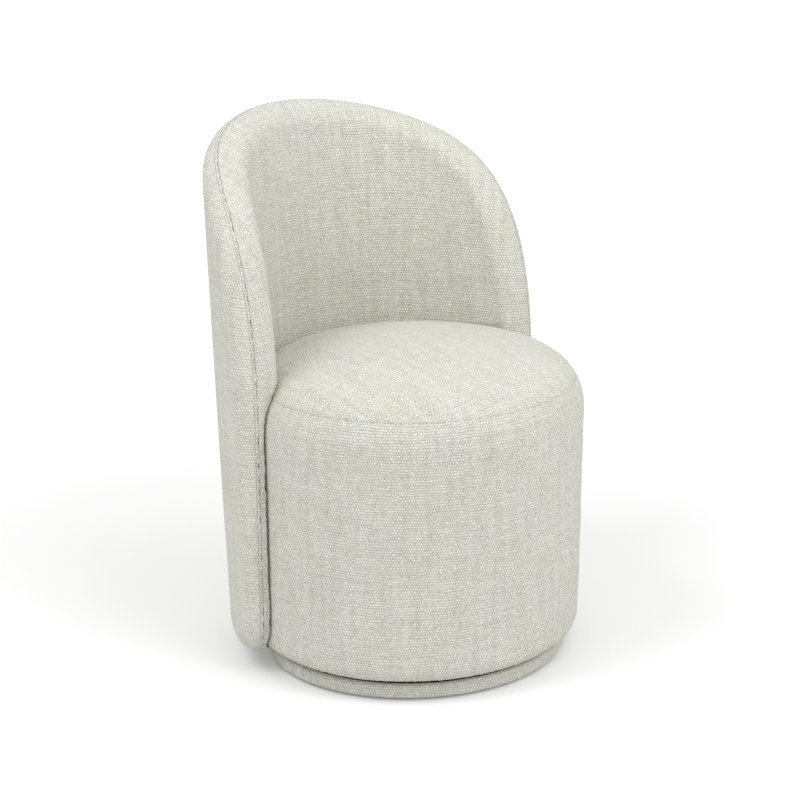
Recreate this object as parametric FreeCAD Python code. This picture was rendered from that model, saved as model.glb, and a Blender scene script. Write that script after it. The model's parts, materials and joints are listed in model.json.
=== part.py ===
import FreeCAD, Part
import math
import os

# Upholstered swivel dining chair. Millimetres, +Z up, the sitter faces -Y.
# The origin is on the floor, on the swivel's axis.
# Two rigid groups: the plinth with the lower half of the swivel stands still,
# and the drum seat with the wrapped back turns on it.

Vector = FreeCAD.Vector

# Overall plan: the drum and the plinth are ovals, wider than they are deep
DRUM_HALF_WIDTH = 257.0
DRUM_FRONT_DEPTH = 238.5
DRUM_REAR_DEPTH = 254.0
DRUM_TAPER = 3.0
PLINTH_HALF_WIDTH = 232.0
FRONT_RATIO = DRUM_FRONT_DEPTH / DRUM_HALF_WIDTH
REAR_RATIO = DRUM_REAR_DEPTH / DRUM_HALF_WIDTH
OVAL_END_SHARE = 0.89

# Heights of the fixed stack
GLIDE_HEIGHT = 3.0
GLIDE_RADIUS = 11.0
GLIDE_INSET = 26.0
RING_BOTTOM = 5.0
RING_INNER = 184.0
TURN_IN_HALF_WIDTH = 192.0
CLOTH_THICKNESS = 0.8
CENTRE_BLOCK_RADIUS = 48.0
RING_TOP = 12.0
PLINTH_BOARD_TOP = 24.0
PLATE_THICKNESS = 2.0
PLATE_GAP = 7.0

# Heights of the turning drum
DRUM_BOTTOM = 33.0
FABRIC = 2.0
BOARD_BOTTOM = DRUM_BOTTOM + FABRIC
BOARD_TOP = BOARD_BOTTOM + 18.0
TOP_RING_BOTTOM = 380.0
TOP_RING_TOP = 398.0
SEAM_HEIGHT = 425.0
SEAT_TOP = 485.0

# Roundings of the drum
DRUM_FOOT_RADIUS = 24.0
SHOULDER_RADIUS = 80.0
CROWN_RADIUS = 722.0
CROWN_FLAT = 6.0

# Drum frame
SKIN_OUTER = 248.0
SKIN_INNER = 243.0
SKIN_BOTTOM = 49.0
TOP_RING_INNER = 190.0
BOARD_EDGE_RADIUS = 14.0
BOARD_HOLE_RADIUS = 24.0
HEM_HALF_WIDTH = 206.0
POST_ANGLES = (21.5, 58.0, 105.0, 150.0)
POST_WIDTH = 46.0
POST_INNER = {21.5: 200.0, 58.0: 208.0, 105.0: 208.0, 150.0: 200.0}

# Webbing
STRAP_WIDTH = 50.0
STRAP_THICKNESS = 1.5
STRAP_REACH = 236.0
STRAP_PLACES = (-108.0, -36.0, 36.0, 108.0)

# Back: a leaning oval barrel, cut by its outline as seen from the side
BACK_HALF_THICKNESS = 34.0
BACK_ROUNDING = 30.0
BARREL_HALF_WIDTH = 263.6
BARREL_HALF_DEPTH = 297.3
BARREL_CENTRE_Y = -45.2
BARREL_LEAN = 0.091
BARREL_TAPER = -0.012
BARREL_DATUM = 40.0
BARREL_TOP = 840.0
BACK_BOTTOM = 26.3
FRONT_EDGE_Y = 36.4
FRONT_EDGE_LEAN = 0.015
ARCH_START = 379.4
ARCH_END_Y = 295.9
ARCH_END_Z = 790.1
ARCH_END_SLOPE = math.radians(22.0)
ARCH_LOWER_HANDLE = 312.0
ARCH_UPPER_HANDLE = 161.0
BACK_CORNER_RADIUS = 60.0
SEAM_OFFSET = 12.5
WELT_HALF_WIDTH = 1.6
WELT_HEIGHT = 1.2

# Back core and what carries it
PLY_INNER_OFFSET = 8.0
PLY_OUTER_OFFSET = 18.0
PLY_INSET = 18.0
BATTEN_ANGLES = (21.5, 58.0)
BATTEN_WIDTH = 46.0
BATTEN_BOTTOM = 70.0
BATTEN_TOP = 376.0
BACK_BOLT_HEIGHTS = (125.0, 320.0)
BACK_BOLT_RADIUS = 4.0

# Swivel
PLATE_RADIUS = 95.0
RACE_RADIUS = 80.0
BALL_COUNT = 18
BALL_RADIUS = 3.4
CAGE_THICKNESS = 1.5
RIVET_RADIUS = 9.0
RIVET_BORE = 6.5
RIVET_CLEARANCE = 0.08
RIVET_FLANGE = 13.0
PLATE_BOLT_CIRCLE = 58.0

# Shared lower and upper faces of the swivel
LOWER_PLATE_TOP = PLINTH_BOARD_TOP + PLATE_THICKNESS
UPPER_PLATE_BOTTOM = LOWER_PLATE_TOP + PLATE_GAP
UPPER_PLATE_TOP = UPPER_PLATE_BOTTOM + PLATE_THICKNESS

os.makedirs("parts", exist_ok=True)


def save(name, shape):
    """Write one sub-part, and say how many solids it holds."""
    solids = shape.Solids
    out = solids[0] if len(solids) == 1 else Part.makeCompound(solids)
    out.exportStep("parts/%s.step" % name)
    print("%-24s %3d solids %10.1f cm3 valid %s" % (name, len(solids), out.Volume / 1000.0, out.isValid()))


def scaled_y(shape, ratio):
    """Stretch a shape along Y, which turns circles about Z into ovals."""
    matrix = FreeCAD.Matrix()
    matrix.A22 = ratio
    return shape.transformGeometry(matrix)


def cylinder(radius, bottom, top, x=0.0, y=0.0):
    """Upright cylinder between two heights."""
    return Part.makeCylinder(radius, top - bottom, Vector(x, y, bottom))


def oval_outline(half_width, height):
    """Oval of four tangent arcs with the drum's front proportions."""
    half_depth = half_width * FRONT_RATIO
    end_radius = half_width * OVAL_END_SHARE
    spread = half_width ** 2 + half_depth ** 2 - 2 * half_width * end_radius
    side_radius = spread / (2 * (half_depth - end_radius))
    end_centre = half_width - end_radius
    reach = math.hypot(end_centre, side_radius - half_depth)
    x = end_centre + end_radius * end_centre / reach
    y = end_radius * (side_radius - half_depth) / reach
    corners = [Vector(x, y, height), Vector(-x, y, height), Vector(-x, -y, height), Vector(x, -y, height)]
    middles = [
        Vector(0, half_depth, height), Vector(-half_width, 0, height),
        Vector(0, -half_depth, height), Vector(half_width, 0, height)]
    return Part.Wire([
        Part.Arc(corners[i], middles[i], corners[(i + 1) % 4]).toShape() for i in range(4)
    ])


def oval(half_width, bottom, top):
    """Upright oval block with the drum's front proportions."""
    return Part.Face(oval_outline(half_width, bottom)).extrude(Vector(0, 0, top - bottom))


def oval_ring(outer, inner, bottom, top):
    """Upright oval ring."""
    return oval(outer, bottom, top).cut(oval(inner, bottom, top))


def rounded_oval(half_width, bottom, top, radius_bottom, radius_top=0.0):
    """Oval block whose lower and upper edges are rounded."""
    block = oval(half_width, bottom, top)
    for height, radius in ((bottom, radius_bottom), (top, radius_top)):
        if radius > 0.0:
            rim = [e for e in block.Edges if e.BoundBox.ZLength < 1e-6 and abs(e.CenterOfMass.z - height) < 1e-6]
            block = block.makeFillet(radius, rim)
    return block


def slab(bottom, top):
    """Wide block between two heights, to cut with."""
    side = 1000.0
    return Part.makeBox(side, side, top - bottom, Vector(-side / 2, -side / 2, bottom))


def turned(shape, degrees):
    """Copy of a shape turned about the swivel's axis."""
    copy = shape.copy()
    copy.rotate(Vector(0, 0, 0), Vector(0, 0, 1), degrees)
    return copy


def group(shapes):
    """Separate solids of one node."""
    return Part.makeCompound(shapes)


def cut_all(shape, tools):
    """Cut a shape by several tools at once."""
    return shape.cut(tools)


# Drum envelope


def drum_outline(inset):
    """Half section of the drum, drawn in by an inset: foot, side, shoulder and crown."""
    foot = DRUM_FOOT_RADIUS - inset
    shoulder = SHOULDER_RADIUS - inset
    crown = CROWN_RADIUS - inset
    bottom = DRUM_BOTTOM + inset
    foot_x = DRUM_HALF_WIDTH - DRUM_TAPER - DRUM_FOOT_RADIUS
    foot_z = DRUM_BOTTOM + DRUM_FOOT_RADIUS
    shoulder_x = DRUM_HALF_WIDTH - SHOULDER_RADIUS
    crown_z = SEAT_TOP - CROWN_RADIUS
    reach = CROWN_RADIUS - SHOULDER_RADIUS
    shoulder_z = crown_z + math.sqrt(reach ** 2 - shoulder_x ** 2)
    tilt = math.asin(shoulder_x / reach)
    half_tilt = tilt / 2
    mid = (tilt + math.pi / 2) / 2
    foot_start = Vector(foot_x, 0, bottom)
    foot_mid = Vector(foot_x + foot * math.sqrt(0.5), 0, foot_z - foot * math.sqrt(0.5))
    foot_end = Vector(foot_x + foot, 0, foot_z)
    side_end = Vector(shoulder_x + shoulder, 0, shoulder_z)
    shoulder_mid = Vector(shoulder_x + shoulder * math.sin(mid), 0, shoulder_z + shoulder * math.cos(mid))
    shoulder_end = Vector(shoulder_x + shoulder * math.sin(tilt), 0, shoulder_z + shoulder * math.cos(tilt))
    crown_mid = Vector(crown * math.sin(half_tilt), 0, crown_z + crown * math.cos(half_tilt))
    # A small flat at the very middle keeps the crown's surface whole there
    flat_end = Vector(CROWN_FLAT, 0, crown_z + math.sqrt(crown ** 2 - CROWN_FLAT ** 2))
    centre_top = Vector(0, 0, flat_end.z)
    centre_bottom = Vector(0, 0, bottom)
    return Part.Wire([
        Part.LineSegment(centre_bottom, foot_start).toShape(),
        Part.Arc(foot_start, foot_mid, foot_end).toShape(),
        Part.LineSegment(foot_end, side_end).toShape(),
        Part.Arc(side_end, shoulder_mid, shoulder_end).toShape(),
        Part.Arc(shoulder_end, crown_mid, flat_end).toShape(),
        Part.LineSegment(flat_end, centre_top).toShape(),
        Part.LineSegment(centre_top, centre_bottom).toShape(),
    ])


def drum_envelope(inset):
    """Whole drum, drawn in by an inset. The rear half is a little deeper than the front."""
    face = Part.Face(drum_outline(inset))
    rear = face.revolve(Vector(0, 0, 0), Vector(0, 0, 1), 180)
    front = face.revolve(Vector(0, 0, 0), Vector(0, 0, 1), -180)
    return scaled_y(front, FRONT_RATIO).fuse(scaled_y(rear, REAR_RATIO))


# Back envelope


def barrel_section(height, offset):
    """Oval of the back's barrel at a height, at an offset outwards from its middle surface."""
    rise = height - BARREL_DATUM
    half_width = BARREL_HALF_WIDTH + BARREL_TAPER * rise + offset
    half_depth = BARREL_HALF_DEPTH + BARREL_TAPER * rise + offset
    centre = BARREL_CENTRE_Y + BARREL_LEAN * rise
    # The closing point is at the front, where the side outline cuts it away
    curve = Part.Ellipse(
        Vector(0, centre - half_depth, height), Vector(half_width, centre, height), Vector(0, centre, height))
    return Part.Wire([curve.toShape()])


def barrel(offset):
    """Leaning, slightly tapered oval barrel that the back is a piece of."""
    return Part.makeLoft([barrel_section(0.0, offset), barrel_section(BARREL_TOP, offset)], True, True)


def back_outline(inset):
    """Block seen from the side as the back is: straight front edge, arch, rounded foot."""
    front_dir = Vector(0, FRONT_EDGE_LEAN, 1).normalize()
    front_in = Vector(0, 1, -FRONT_EDGE_LEAN).normalize()
    arch_dir = Vector(0, math.cos(ARCH_END_SLOPE), math.sin(ARCH_END_SLOPE))
    arch_in = Vector(0, math.sin(ARCH_END_SLOPE), -math.cos(ARCH_END_SLOPE))
    shrink = 1.0 - inset / 400.0
    start = Vector(0, FRONT_EDGE_Y, ARCH_START) + front_in * inset
    end = Vector(0, ARCH_END_Y, ARCH_END_Z) + arch_in * inset
    arch = Part.BezierCurve()
    arch.setPoles([
        start,
        start + front_dir * (ARCH_LOWER_HANDLE * shrink),
        end - arch_dir * (ARCH_UPPER_HANDLE * shrink),
        end,
    ])
    radius = BACK_CORNER_RADIUS - inset
    bottom = BACK_BOTTOM + inset
    centre_z = bottom + radius
    centre_y = start.y + (radius - front_in.z * (centre_z - start.z)) / front_in.y
    centre = Vector(0, centre_y, centre_z)
    foot = Vector(0, centre_y, bottom)
    knee = centre - front_in * radius
    middle = (Vector(0, 0, -1) - front_in).normalize()
    beyond = end + arch_dir * 160.0
    low = Vector(0, beyond.y, bottom)
    wire = Part.Wire([
        Part.Arc(foot, centre + middle * radius, knee).toShape(),
        Part.LineSegment(knee, start).toShape(),
        arch.toShape(),
        Part.LineSegment(end, beyond).toShape(),
        Part.LineSegment(beyond, low).toShape(),
        Part.LineSegment(low, foot).toShape(),
    ])
    face = Part.Face(wire)
    face.translate(Vector(-400, 0, 0))
    return face.extrude(Vector(800, 0, 0))


def back_panel(outer, inner, inset):
    """Piece of the barrel's wall between two offsets, inside the side outline."""
    return barrel(outer).cut(barrel(inner)).common(back_outline(inset)).Solids[0]


def back_pad(inset):
    """Whole soft back with its edges rounded, drawn in by an inset."""
    block = back_panel(BACK_HALF_THICKNESS - inset, -BACK_HALF_THICKNESS + inset, inset)
    walls = sorted(block.Faces, key=lambda face: -face.Area)[:2]
    return block.makeFillet(BACK_ROUNDING - inset, walls[0].Edges + walls[1].Edges)


def ray_to_barrel(angle, height, offset):
    """Distance from the swivel's axis to the barrel, along a level ray at an angle from +Y."""
    rise = height - BARREL_DATUM
    half_width = BARREL_HALF_WIDTH + BARREL_TAPER * rise + offset
    half_depth = BARREL_HALF_DEPTH + BARREL_TAPER * rise + offset
    centre = BARREL_CENTRE_Y + BARREL_LEAN * rise
    s, c = math.sin(math.radians(angle)), math.cos(math.radians(angle))
    qa = (s / half_width) ** 2 + (c / half_depth) ** 2
    qb = -2 * c * centre / half_depth ** 2
    qc = (centre / half_depth) ** 2 - 1
    return (-qb + math.sqrt(qb * qb - 4 * qa * qc)) / (2 * qa)


def radial_box(angle, inner, outer, width, bottom, top):
    """Upright block whose long side points away from the axis, at an angle from +Y."""
    box = Part.makeBox(width, outer - inner, top - bottom, Vector(-width / 2, inner, bottom))
    return turned(box, -angle)


def radial_cylinder(angle, radius, inner, outer, height):
    """Level round bar along a ray from the axis, at an angle from +Y."""
    bar = Part.makeCylinder(radius, outer - inner, Vector(0, inner, height), Vector(0, 1, 0))
    return turned(bar, -angle)


def both_sides(angles):
    """Each angle on the left and on the right."""
    return [sign * angle for angle in angles for sign in (1, -1)]


# Fixed part: plinth


def glide(x, y, height):
    """Round glide, flat where it meets the floor."""
    disc = cylinder(GLIDE_RADIUS, 0.0, height)
    rim = [e for e in disc.Edges if e.Closed and e.CenterOfMass.z < 0.1]
    disc = disc.makeFillet(1.0, rim)
    disc.translate(Vector(x, y, 0))
    return disc


def floor_glides():
    """Six glides round the plinth and one under the swivel's axis."""
    outer = [glide(x, y, GLIDE_HEIGHT) for x, y in glide_places()]
    return outer + [glide(0.0, 0.0, RING_BOTTOM - CLOTH_THICKNESS)]


def glide_places():
    """Middle of each outer glide, along the plinth's ring."""
    middle = PLINTH_HALF_WIDTH - GLIDE_INSET
    angles = [math.radians(30 + 60 * i) for i in range(6)]
    return [(middle * math.cos(a), middle * FRONT_RATIO * math.sin(a)) for a in angles]


def glide_nails():
    """One nail up through each glide."""
    places = glide_places() + [(0.0, 0.0)]
    return [cylinder(1.25, 1.5, RING_TOP + 5.0, x, y) for x, y in places]


def plinth_skin(thickness_in):
    """Outer form of the plinth, drawn in by a thickness."""
    return rounded_oval(
        PLINTH_HALF_WIDTH - thickness_in, GLIDE_HEIGHT + thickness_in, LOWER_PLATE_TOP - thickness_in,
        6.0 - thickness_in, 6.0 - thickness_in)


def plinth_parts():
    """Ring, centre block, board, cover and cloth of the plinth."""
    core = plinth_skin(FABRIC)
    cover = plinth_skin(0.0).cut(core)
    cover = cover.cut(oval(HEM_HALF_WIDTH, PLINTH_BOARD_TOP - 1.0, LOWER_PLATE_TOP + 1.0))
    cover = cover.cut(oval(TURN_IN_HALF_WIDTH, GLIDE_HEIGHT - 1.0, RING_BOTTOM + 1.0))
    ring = core.common(slab(RING_BOTTOM, RING_TOP)).cut(oval(RING_INNER, RING_BOTTOM, RING_TOP))
    block = cylinder(CENTRE_BLOCK_RADIUS, RING_BOTTOM, RING_TOP)
    board = core.common(slab(RING_TOP, PLINTH_BOARD_TOP))
    cloth = oval(TURN_IN_HALF_WIDTH - 0.5, RING_BOTTOM - CLOTH_THICKNESS, RING_BOTTOM)
    return ring, block, board, cover, cloth


# Swivel


def plate_screw(angle):
    """Countersunk screw through the lower plate into the plinth's board."""
    x, y = PLATE_BOLT_CIRCLE * math.cos(angle), PLATE_BOLT_CIRCLE * math.sin(angle)
    head = Part.makeCone(2.0, 4.2, 2.2, Vector(x, y, LOWER_PLATE_TOP - 2.2))
    shank = cylinder(2.0, RING_TOP + 1.5, LOWER_PLATE_TOP - 2.2, x, y)
    return head.fuse(shank).removeSplitter()


def plate_bolt(angle):
    """Machine bolt up through the upper plate and the seat's bottom board."""
    x, y = PLATE_BOLT_CIRCLE * math.cos(angle), PLATE_BOLT_CIRCLE * math.sin(angle)
    head = cylinder(5.0, UPPER_PLATE_BOTTOM - 2.2, UPPER_PLATE_BOTTOM, x, y)
    shank = cylinder(3.0, UPPER_PLATE_BOTTOM, BOARD_TOP + 3.0, x, y)
    return head.fuse(shank).removeSplitter()


def plate_t_nut(angle):
    """T-nut on top of the bottom board, round the bolt's end."""
    x, y = PLATE_BOLT_CIRCLE * math.cos(angle), PLATE_BOLT_CIRCLE * math.sin(angle)
    flange = cylinder(9.0, BOARD_TOP, BOARD_TOP + 1.5, x, y)
    barrel_part = cylinder(4.2, BOARD_TOP - 10.0, BOARD_TOP, x, y)
    return flange.fuse(barrel_part).removeSplitter().cut(plate_bolt(angle))


def swivel_rivet():
    """Hollow rivet that keeps the plates together, with a flange at each end."""
    flange_bottom = UPPER_PLATE_TOP + 0.2
    tube = cylinder(RIVET_RADIUS, PLINTH_BOARD_TOP - 1.5, flange_bottom + 1.5)
    low = cylinder(RIVET_FLANGE, PLINTH_BOARD_TOP - 1.5, PLINTH_BOARD_TOP)
    high = cylinder(RIVET_FLANGE, flange_bottom, flange_bottom + 1.5)
    bore = cylinder(RIVET_BORE, PLINTH_BOARD_TOP - 2.0, flange_bottom + 2.0)
    return tube.fuse(low).fuse(high).removeSplitter().cut(bore)


def swivel_plate(bottom, hole):
    """Round plate with its centre hole."""
    plate = cylinder(PLATE_RADIUS, bottom, bottom + PLATE_THICKNESS)
    return plate.cut(cylinder(hole, bottom, bottom + PLATE_THICKNESS))


def race_places():
    """Middle of each ball on the race."""
    step = 2 * math.pi / BALL_COUNT
    return [(RACE_RADIUS * math.cos(i * step), RACE_RADIUS * math.sin(i * step)) for i in range(BALL_COUNT)]


def swivel_balls():
    """Balls that stand on the lower plate."""
    centre = LOWER_PLATE_TOP + BALL_RADIUS
    return [Part.makeSphere(BALL_RADIUS, Vector(x, y, centre)) for x, y in race_places()]


def ball_cage():
    """Flat ring that spaces the balls."""
    bottom = LOWER_PLATE_TOP + BALL_RADIUS - CAGE_THICKNESS / 2
    top = bottom + CAGE_THICKNESS
    cage = cylinder(RACE_RADIUS + 7.0, bottom, top).cut(cylinder(RACE_RADIUS - 7.0, bottom, top))
    return cut_all(cage, [cylinder(BALL_RADIUS + 0.1, bottom, top, x, y) for x, y in race_places()])


# Turning part: drum frame


def bottom_board_blank():
    """Oval board with a rounded lower edge."""
    return rounded_oval(SKIN_INNER, BOARD_BOTTOM, BOARD_TOP, BOARD_EDGE_RADIUS)


def drum_posts():
    """Uprights inside the skin, between the bottom board and the top ring."""
    room = oval(SKIN_INNER, BOARD_TOP, TOP_RING_BOTTOM)
    posts = []
    for angle in both_sides(POST_ANGLES):
        inner = POST_INNER[abs(angle)]
        box = radial_box(angle, inner, inner + 60.0, POST_WIDTH, BOARD_TOP, TOP_RING_BOTTOM)
        posts.append(box.common(room))
    return posts


def strap(place, across, bottom):
    """One webbing strap over the top ring, cut to the ring's oval."""
    long_side = 2 * DRUM_HALF_WIDTH
    if across:
        box = Part.makeBox(
            long_side, STRAP_WIDTH, STRAP_THICKNESS,
            Vector(-long_side / 2, place * FRONT_RATIO - STRAP_WIDTH / 2, bottom))
    else:
        box = Part.makeBox(
            STRAP_WIDTH, long_side, STRAP_THICKNESS, Vector(place - STRAP_WIDTH / 2, -long_side / 2, bottom))
    return box.common(oval(STRAP_REACH, bottom, bottom + STRAP_THICKNESS))


def strap_staples():
    """Two staples in each end of each strap, driven into the top ring."""
    staples = []
    wire = 1.2
    crown = 10.0
    for across in (False, True):
        top = TOP_RING_TOP + (2 if across else 1) * STRAP_THICKNESS
        for place in STRAP_PLACES:
            for end in (-1, 1):
                for shift in (-12.0, 12.0):
                    side = (place * FRONT_RATIO if across else place) + shift
                    half = 215.0 * (1.0 if across else FRONT_RATIO)
                    other = DRUM_HALF_WIDTH * (FRONT_RATIO if across else 1.0)
                    along = end * half * math.sqrt(1 - (side / other) ** 2)
                    x, y = (along, side) if across else (side, along)
                    size = (wire, crown) if across else (crown, wire)
                    bar = Part.makeBox(
                        size[0], size[1], 0.6, Vector(x - size[0] / 2, y - size[1] / 2, top))
                    legs = []
                    for leg in (-1, 1):
                        shift_leg = leg * (crown - wire) / 2
                        lx, ly = (x, y + shift_leg) if across else (x + shift_leg, y)
                        legs.append(Part.makeBox(
                            wire, wire, 8.0, Vector(lx - wire / 2, ly - wire / 2, top - 8.0)))
                    staples.append(bar.fuse(legs[0]).fuse(legs[1]).removeSplitter())
    return staples


# Turning part: what holds the back


def back_battens():
    """Blocks between the drum's skin and the back's ply core."""
    ring = barrel(PLY_INNER_OFFSET).cut(oval(SKIN_OUTER, BATTEN_BOTTOM - 1.0, BATTEN_TOP + 1.0))
    return [
        radial_box(angle, 200.0, 330.0, BATTEN_WIDTH, BATTEN_BOTTOM, BATTEN_TOP).common(ring)
        for angle in both_sides(BATTEN_ANGLES)
    ]


def back_fasteners():
    """Bolts, washers and T-nuts of the back, in that order."""
    bolts, washers, nuts = [], [], []
    for angle in both_sides(BATTEN_ANGLES):
        inner = POST_INNER[abs(angle)]
        for height in BACK_BOLT_HEIGHTS:
            ply = ray_to_barrel(angle, height, PLY_OUTER_OFFSET) - 1.0
            head = radial_cylinder(angle, 7.0, inner - 6.1, inner - 1.6, height)
            socket = radial_cylinder(angle, 2.5, inner - 6.1, inner - 3.5, height)
            shank = radial_cylinder(angle, BACK_BOLT_RADIUS, inner - 1.6, ply + 1.0, height)
            bolts.append(head.fuse(shank).removeSplitter().cut(socket))
            washer = radial_cylinder(angle, 10.0, inner - 1.6, inner, height)
            washers.append(washer.cut(shank))
            flange = radial_cylinder(angle, 10.0, ply, ply + 1.6, height)
            sleeve = radial_cylinder(angle, 5.2, ply - 7.0, ply, height)
            nuts.append(flange.fuse(sleeve).removeSplitter().cut(shank))
    return bolts, washers, nuts


# Build the fixed part

ring, centre_block, plinth_board, plinth_cover, plinth_cloth = plinth_parts()
nails = glide_nails()
screws = [plate_screw(math.radians(45 + 90 * i)) for i in range(4)]
rivet = swivel_rivet()
lower_plate = swivel_plate(PLINTH_BOARD_TOP, RIVET_RADIUS)
plinth_board = plinth_board.cut(cylinder(RIVET_FLANGE + 1.0, PLINTH_BOARD_TOP - 2.5, PLINTH_BOARD_TOP))

save("floor_glides", cut_all(group(floor_glides()), nails))
save("glide_nails", group(nails))
save("plinth_ring", cut_all(ring, nails))
save("plinth_centre_block", cut_all(centre_block, nails))
save("plinth_top_board", cut_all(plinth_board, screws + nails))
save("plinth_cover", cut_all(plinth_cover, nails))
save("plinth_dust_cloth", cut_all(plinth_cloth, nails))
save("swivel_lower_plate", cut_all(lower_plate, screws))
save("lower_plate_screws", group(screws))
save("swivel_rivet", rivet)
save("swivel_balls", group(swivel_balls()))
save("ball_cage", ball_cage())

# Build the drum's frame

bolt_angles = [math.radians(90 * i) for i in range(4)]
plate_bolts = [plate_bolt(angle) for angle in bolt_angles]
plate_nuts = [plate_t_nut(angle) for angle in bolt_angles]
back_bolts, back_washers, back_nuts = back_fasteners()
hardware = back_bolts + back_nuts
battens = back_battens()

board = bottom_board_blank().cut(cylinder(BOARD_HOLE_RADIUS, BOARD_BOTTOM, BOARD_TOP))
upper_plate = swivel_plate(UPPER_PLATE_BOTTOM, RIVET_RADIUS + RIVET_CLEARANCE)
skin = oval_ring(SKIN_OUTER, SKIN_INNER, SKIN_BOTTOM, TOP_RING_TOP)
top_ring = oval_ring(SKIN_INNER, TOP_RING_INNER, TOP_RING_BOTTOM, TOP_RING_TOP)
staples = strap_staples()
lengthwise = group([strap(place, False, TOP_RING_TOP) for place in STRAP_PLACES])
crosswise = group([strap(place, True, TOP_RING_TOP + STRAP_THICKNESS) for place in STRAP_PLACES])
cloth_hole = cylinder(PLATE_RADIUS + 1.0, DRUM_BOTTOM, BOARD_BOTTOM)

save("swivel_upper_plate", cut_all(upper_plate, plate_bolts))
save("upper_plate_bolts", group(plate_bolts))
save("upper_plate_t_nuts", group(plate_nuts))
save("seat_bottom_board", cut_all(board, plate_bolts + plate_nuts))
save("drum_posts", cut_all(group(drum_posts()), back_bolts))
save("drum_top_ring", cut_all(top_ring, staples))
save("drum_skin", cut_all(skin, back_bolts))
save("webbing_lengthwise", cut_all(lengthwise, staples))
save("webbing_crosswise", cut_all(crosswise, staples))
save("webbing_staples", group(staples))
save("drum_bottom_cloth", oval(HEM_HALF_WIDTH - 0.5, BOARD_BOTTOM - CLOTH_THICKNESS, BOARD_BOTTOM).cut(cloth_hole))

# Build the drum's soft parts

drum = drum_envelope(0.0)
drum_lining = drum_envelope(FABRIC)
wadding_lining = drum_envelope(FABRIC + 8.0)
foam_bottom = TOP_RING_TOP + 2 * STRAP_THICKNESS + 0.6

seat_foam = wadding_lining.common(slab(foam_bottom, SEAT_TOP))
wadding = drum_lining.cut(wadding_lining).common(slab(foam_bottom, SEAT_TOP))
side_foam = drum_lining.common(slab(BOARD_BOTTOM, TOP_RING_TOP))
side_foam = side_foam.cut(oval(SKIN_OUTER, SKIN_BOTTOM, TOP_RING_TOP)).cut(bottom_board_blank())
drum_cover = drum.cut(drum_lining)
side_cover = drum_cover.common(slab(0.0, SEAM_HEIGHT)).cut(oval(HEM_HALF_WIDTH, 0.0, BOARD_BOTTOM + 1.0))
top_cover = drum_cover.common(slab(SEAM_HEIGHT, SEAT_TOP + 1.0))

save("seat_foam", seat_foam)
save("seat_wadding", wadding)
save("seat_top_cover", top_cover)
save("drum_side_foam", cut_all(side_foam, battens))
save("drum_side_cover", cut_all(side_cover, battens))

# Build the back

pad = back_pad(0.0)
pad_lining = back_pad(FABRIC)
core_blank = back_panel(PLY_OUTER_OFFSET, PLY_INNER_OFFSET, PLY_INSET)
seam_barrel = barrel(SEAM_OFFSET)
core_barrel = barrel(PLY_INNER_OFFSET)

back_foam = pad_lining.cut(drum).cut(core_blank)
inner_foam = cut_all(back_foam.common(core_barrel), battens)
outer_foam = cut_all(back_foam.cut(core_barrel), hardware)
back_cover = pad.cut(pad_lining).cut(drum)
inner_cover = cut_all(back_cover.common(seam_barrel), battens)
outer_cover = back_cover.cut(seam_barrel)
welt_ring = barrel(SEAM_OFFSET + WELT_HALF_WIDTH).cut(barrel(SEAM_OFFSET - WELT_HALF_WIDTH))
welt = back_pad(-WELT_HEIGHT).cut(pad).common(welt_ring).cut(drum)

save("back_ply_shell", cut_all(core_blank, hardware))
save("back_battens", cut_all(group(battens), back_bolts))
save("back_bolts", group(back_bolts))
save("back_washers", group(back_washers))
save("back_t_nuts", group(back_nuts))
save("back_inner_foam", inner_foam)
save("back_outer_foam", outer_foam)
save("back_inner_cover", inner_cover)
save("back_outer_cover", outer_cover)
save("back_seam_welt", welt)
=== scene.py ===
"""Looks of an upholstered swivel dining chair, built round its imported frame.

The drum seat, its crowned cushion, the wrapped back and the plinth are dressed as covers of a chunky
woven fabric. Everything is in metres, +Z up, and the sitter faces -Y.
"""

import json
import logging
import math
from collections.abc import Callable
from dataclasses import dataclass, field
from enum import Enum

import bpy
import numpy as np
from mathutils import Matrix, Vector

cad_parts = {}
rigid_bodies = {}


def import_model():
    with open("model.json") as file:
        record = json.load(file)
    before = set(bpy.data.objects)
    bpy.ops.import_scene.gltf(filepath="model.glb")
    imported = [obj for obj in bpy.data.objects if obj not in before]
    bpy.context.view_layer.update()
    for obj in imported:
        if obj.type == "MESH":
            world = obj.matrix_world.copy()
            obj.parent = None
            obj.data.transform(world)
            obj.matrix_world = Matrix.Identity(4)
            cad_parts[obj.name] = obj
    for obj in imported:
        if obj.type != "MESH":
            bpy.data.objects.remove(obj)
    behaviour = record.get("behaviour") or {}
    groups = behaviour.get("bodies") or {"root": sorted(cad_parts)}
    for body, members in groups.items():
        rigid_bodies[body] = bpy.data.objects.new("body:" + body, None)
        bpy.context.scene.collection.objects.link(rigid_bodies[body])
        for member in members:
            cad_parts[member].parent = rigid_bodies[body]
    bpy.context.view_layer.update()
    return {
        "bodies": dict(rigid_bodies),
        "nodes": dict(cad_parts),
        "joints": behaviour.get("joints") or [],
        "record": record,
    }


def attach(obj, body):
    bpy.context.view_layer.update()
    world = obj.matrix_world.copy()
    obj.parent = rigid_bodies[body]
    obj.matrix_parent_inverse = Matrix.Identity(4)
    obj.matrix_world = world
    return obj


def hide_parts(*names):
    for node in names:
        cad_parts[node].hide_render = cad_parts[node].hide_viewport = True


LOG = logging.getLogger("chair")
MM = 0.001
WEAVE_MAP = "weave"
KNOT_SPACING = 4.38 * MM
ROW_PITCH = 4.07 * MM

Colour = tuple[float, float, float]
Triple = tuple[float, float, float]
Array = np.ndarray
EdgeRow = tuple[Array, Array, Array]


class Body(Enum):
    """The two rigid groups that a piece can ride on."""

    BASE = "base"
    SEAT = "seat"


class Grain(Enum):
    """How a wooden piece is made."""

    PLY = "ply"
    SOLID = "solid"


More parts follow.
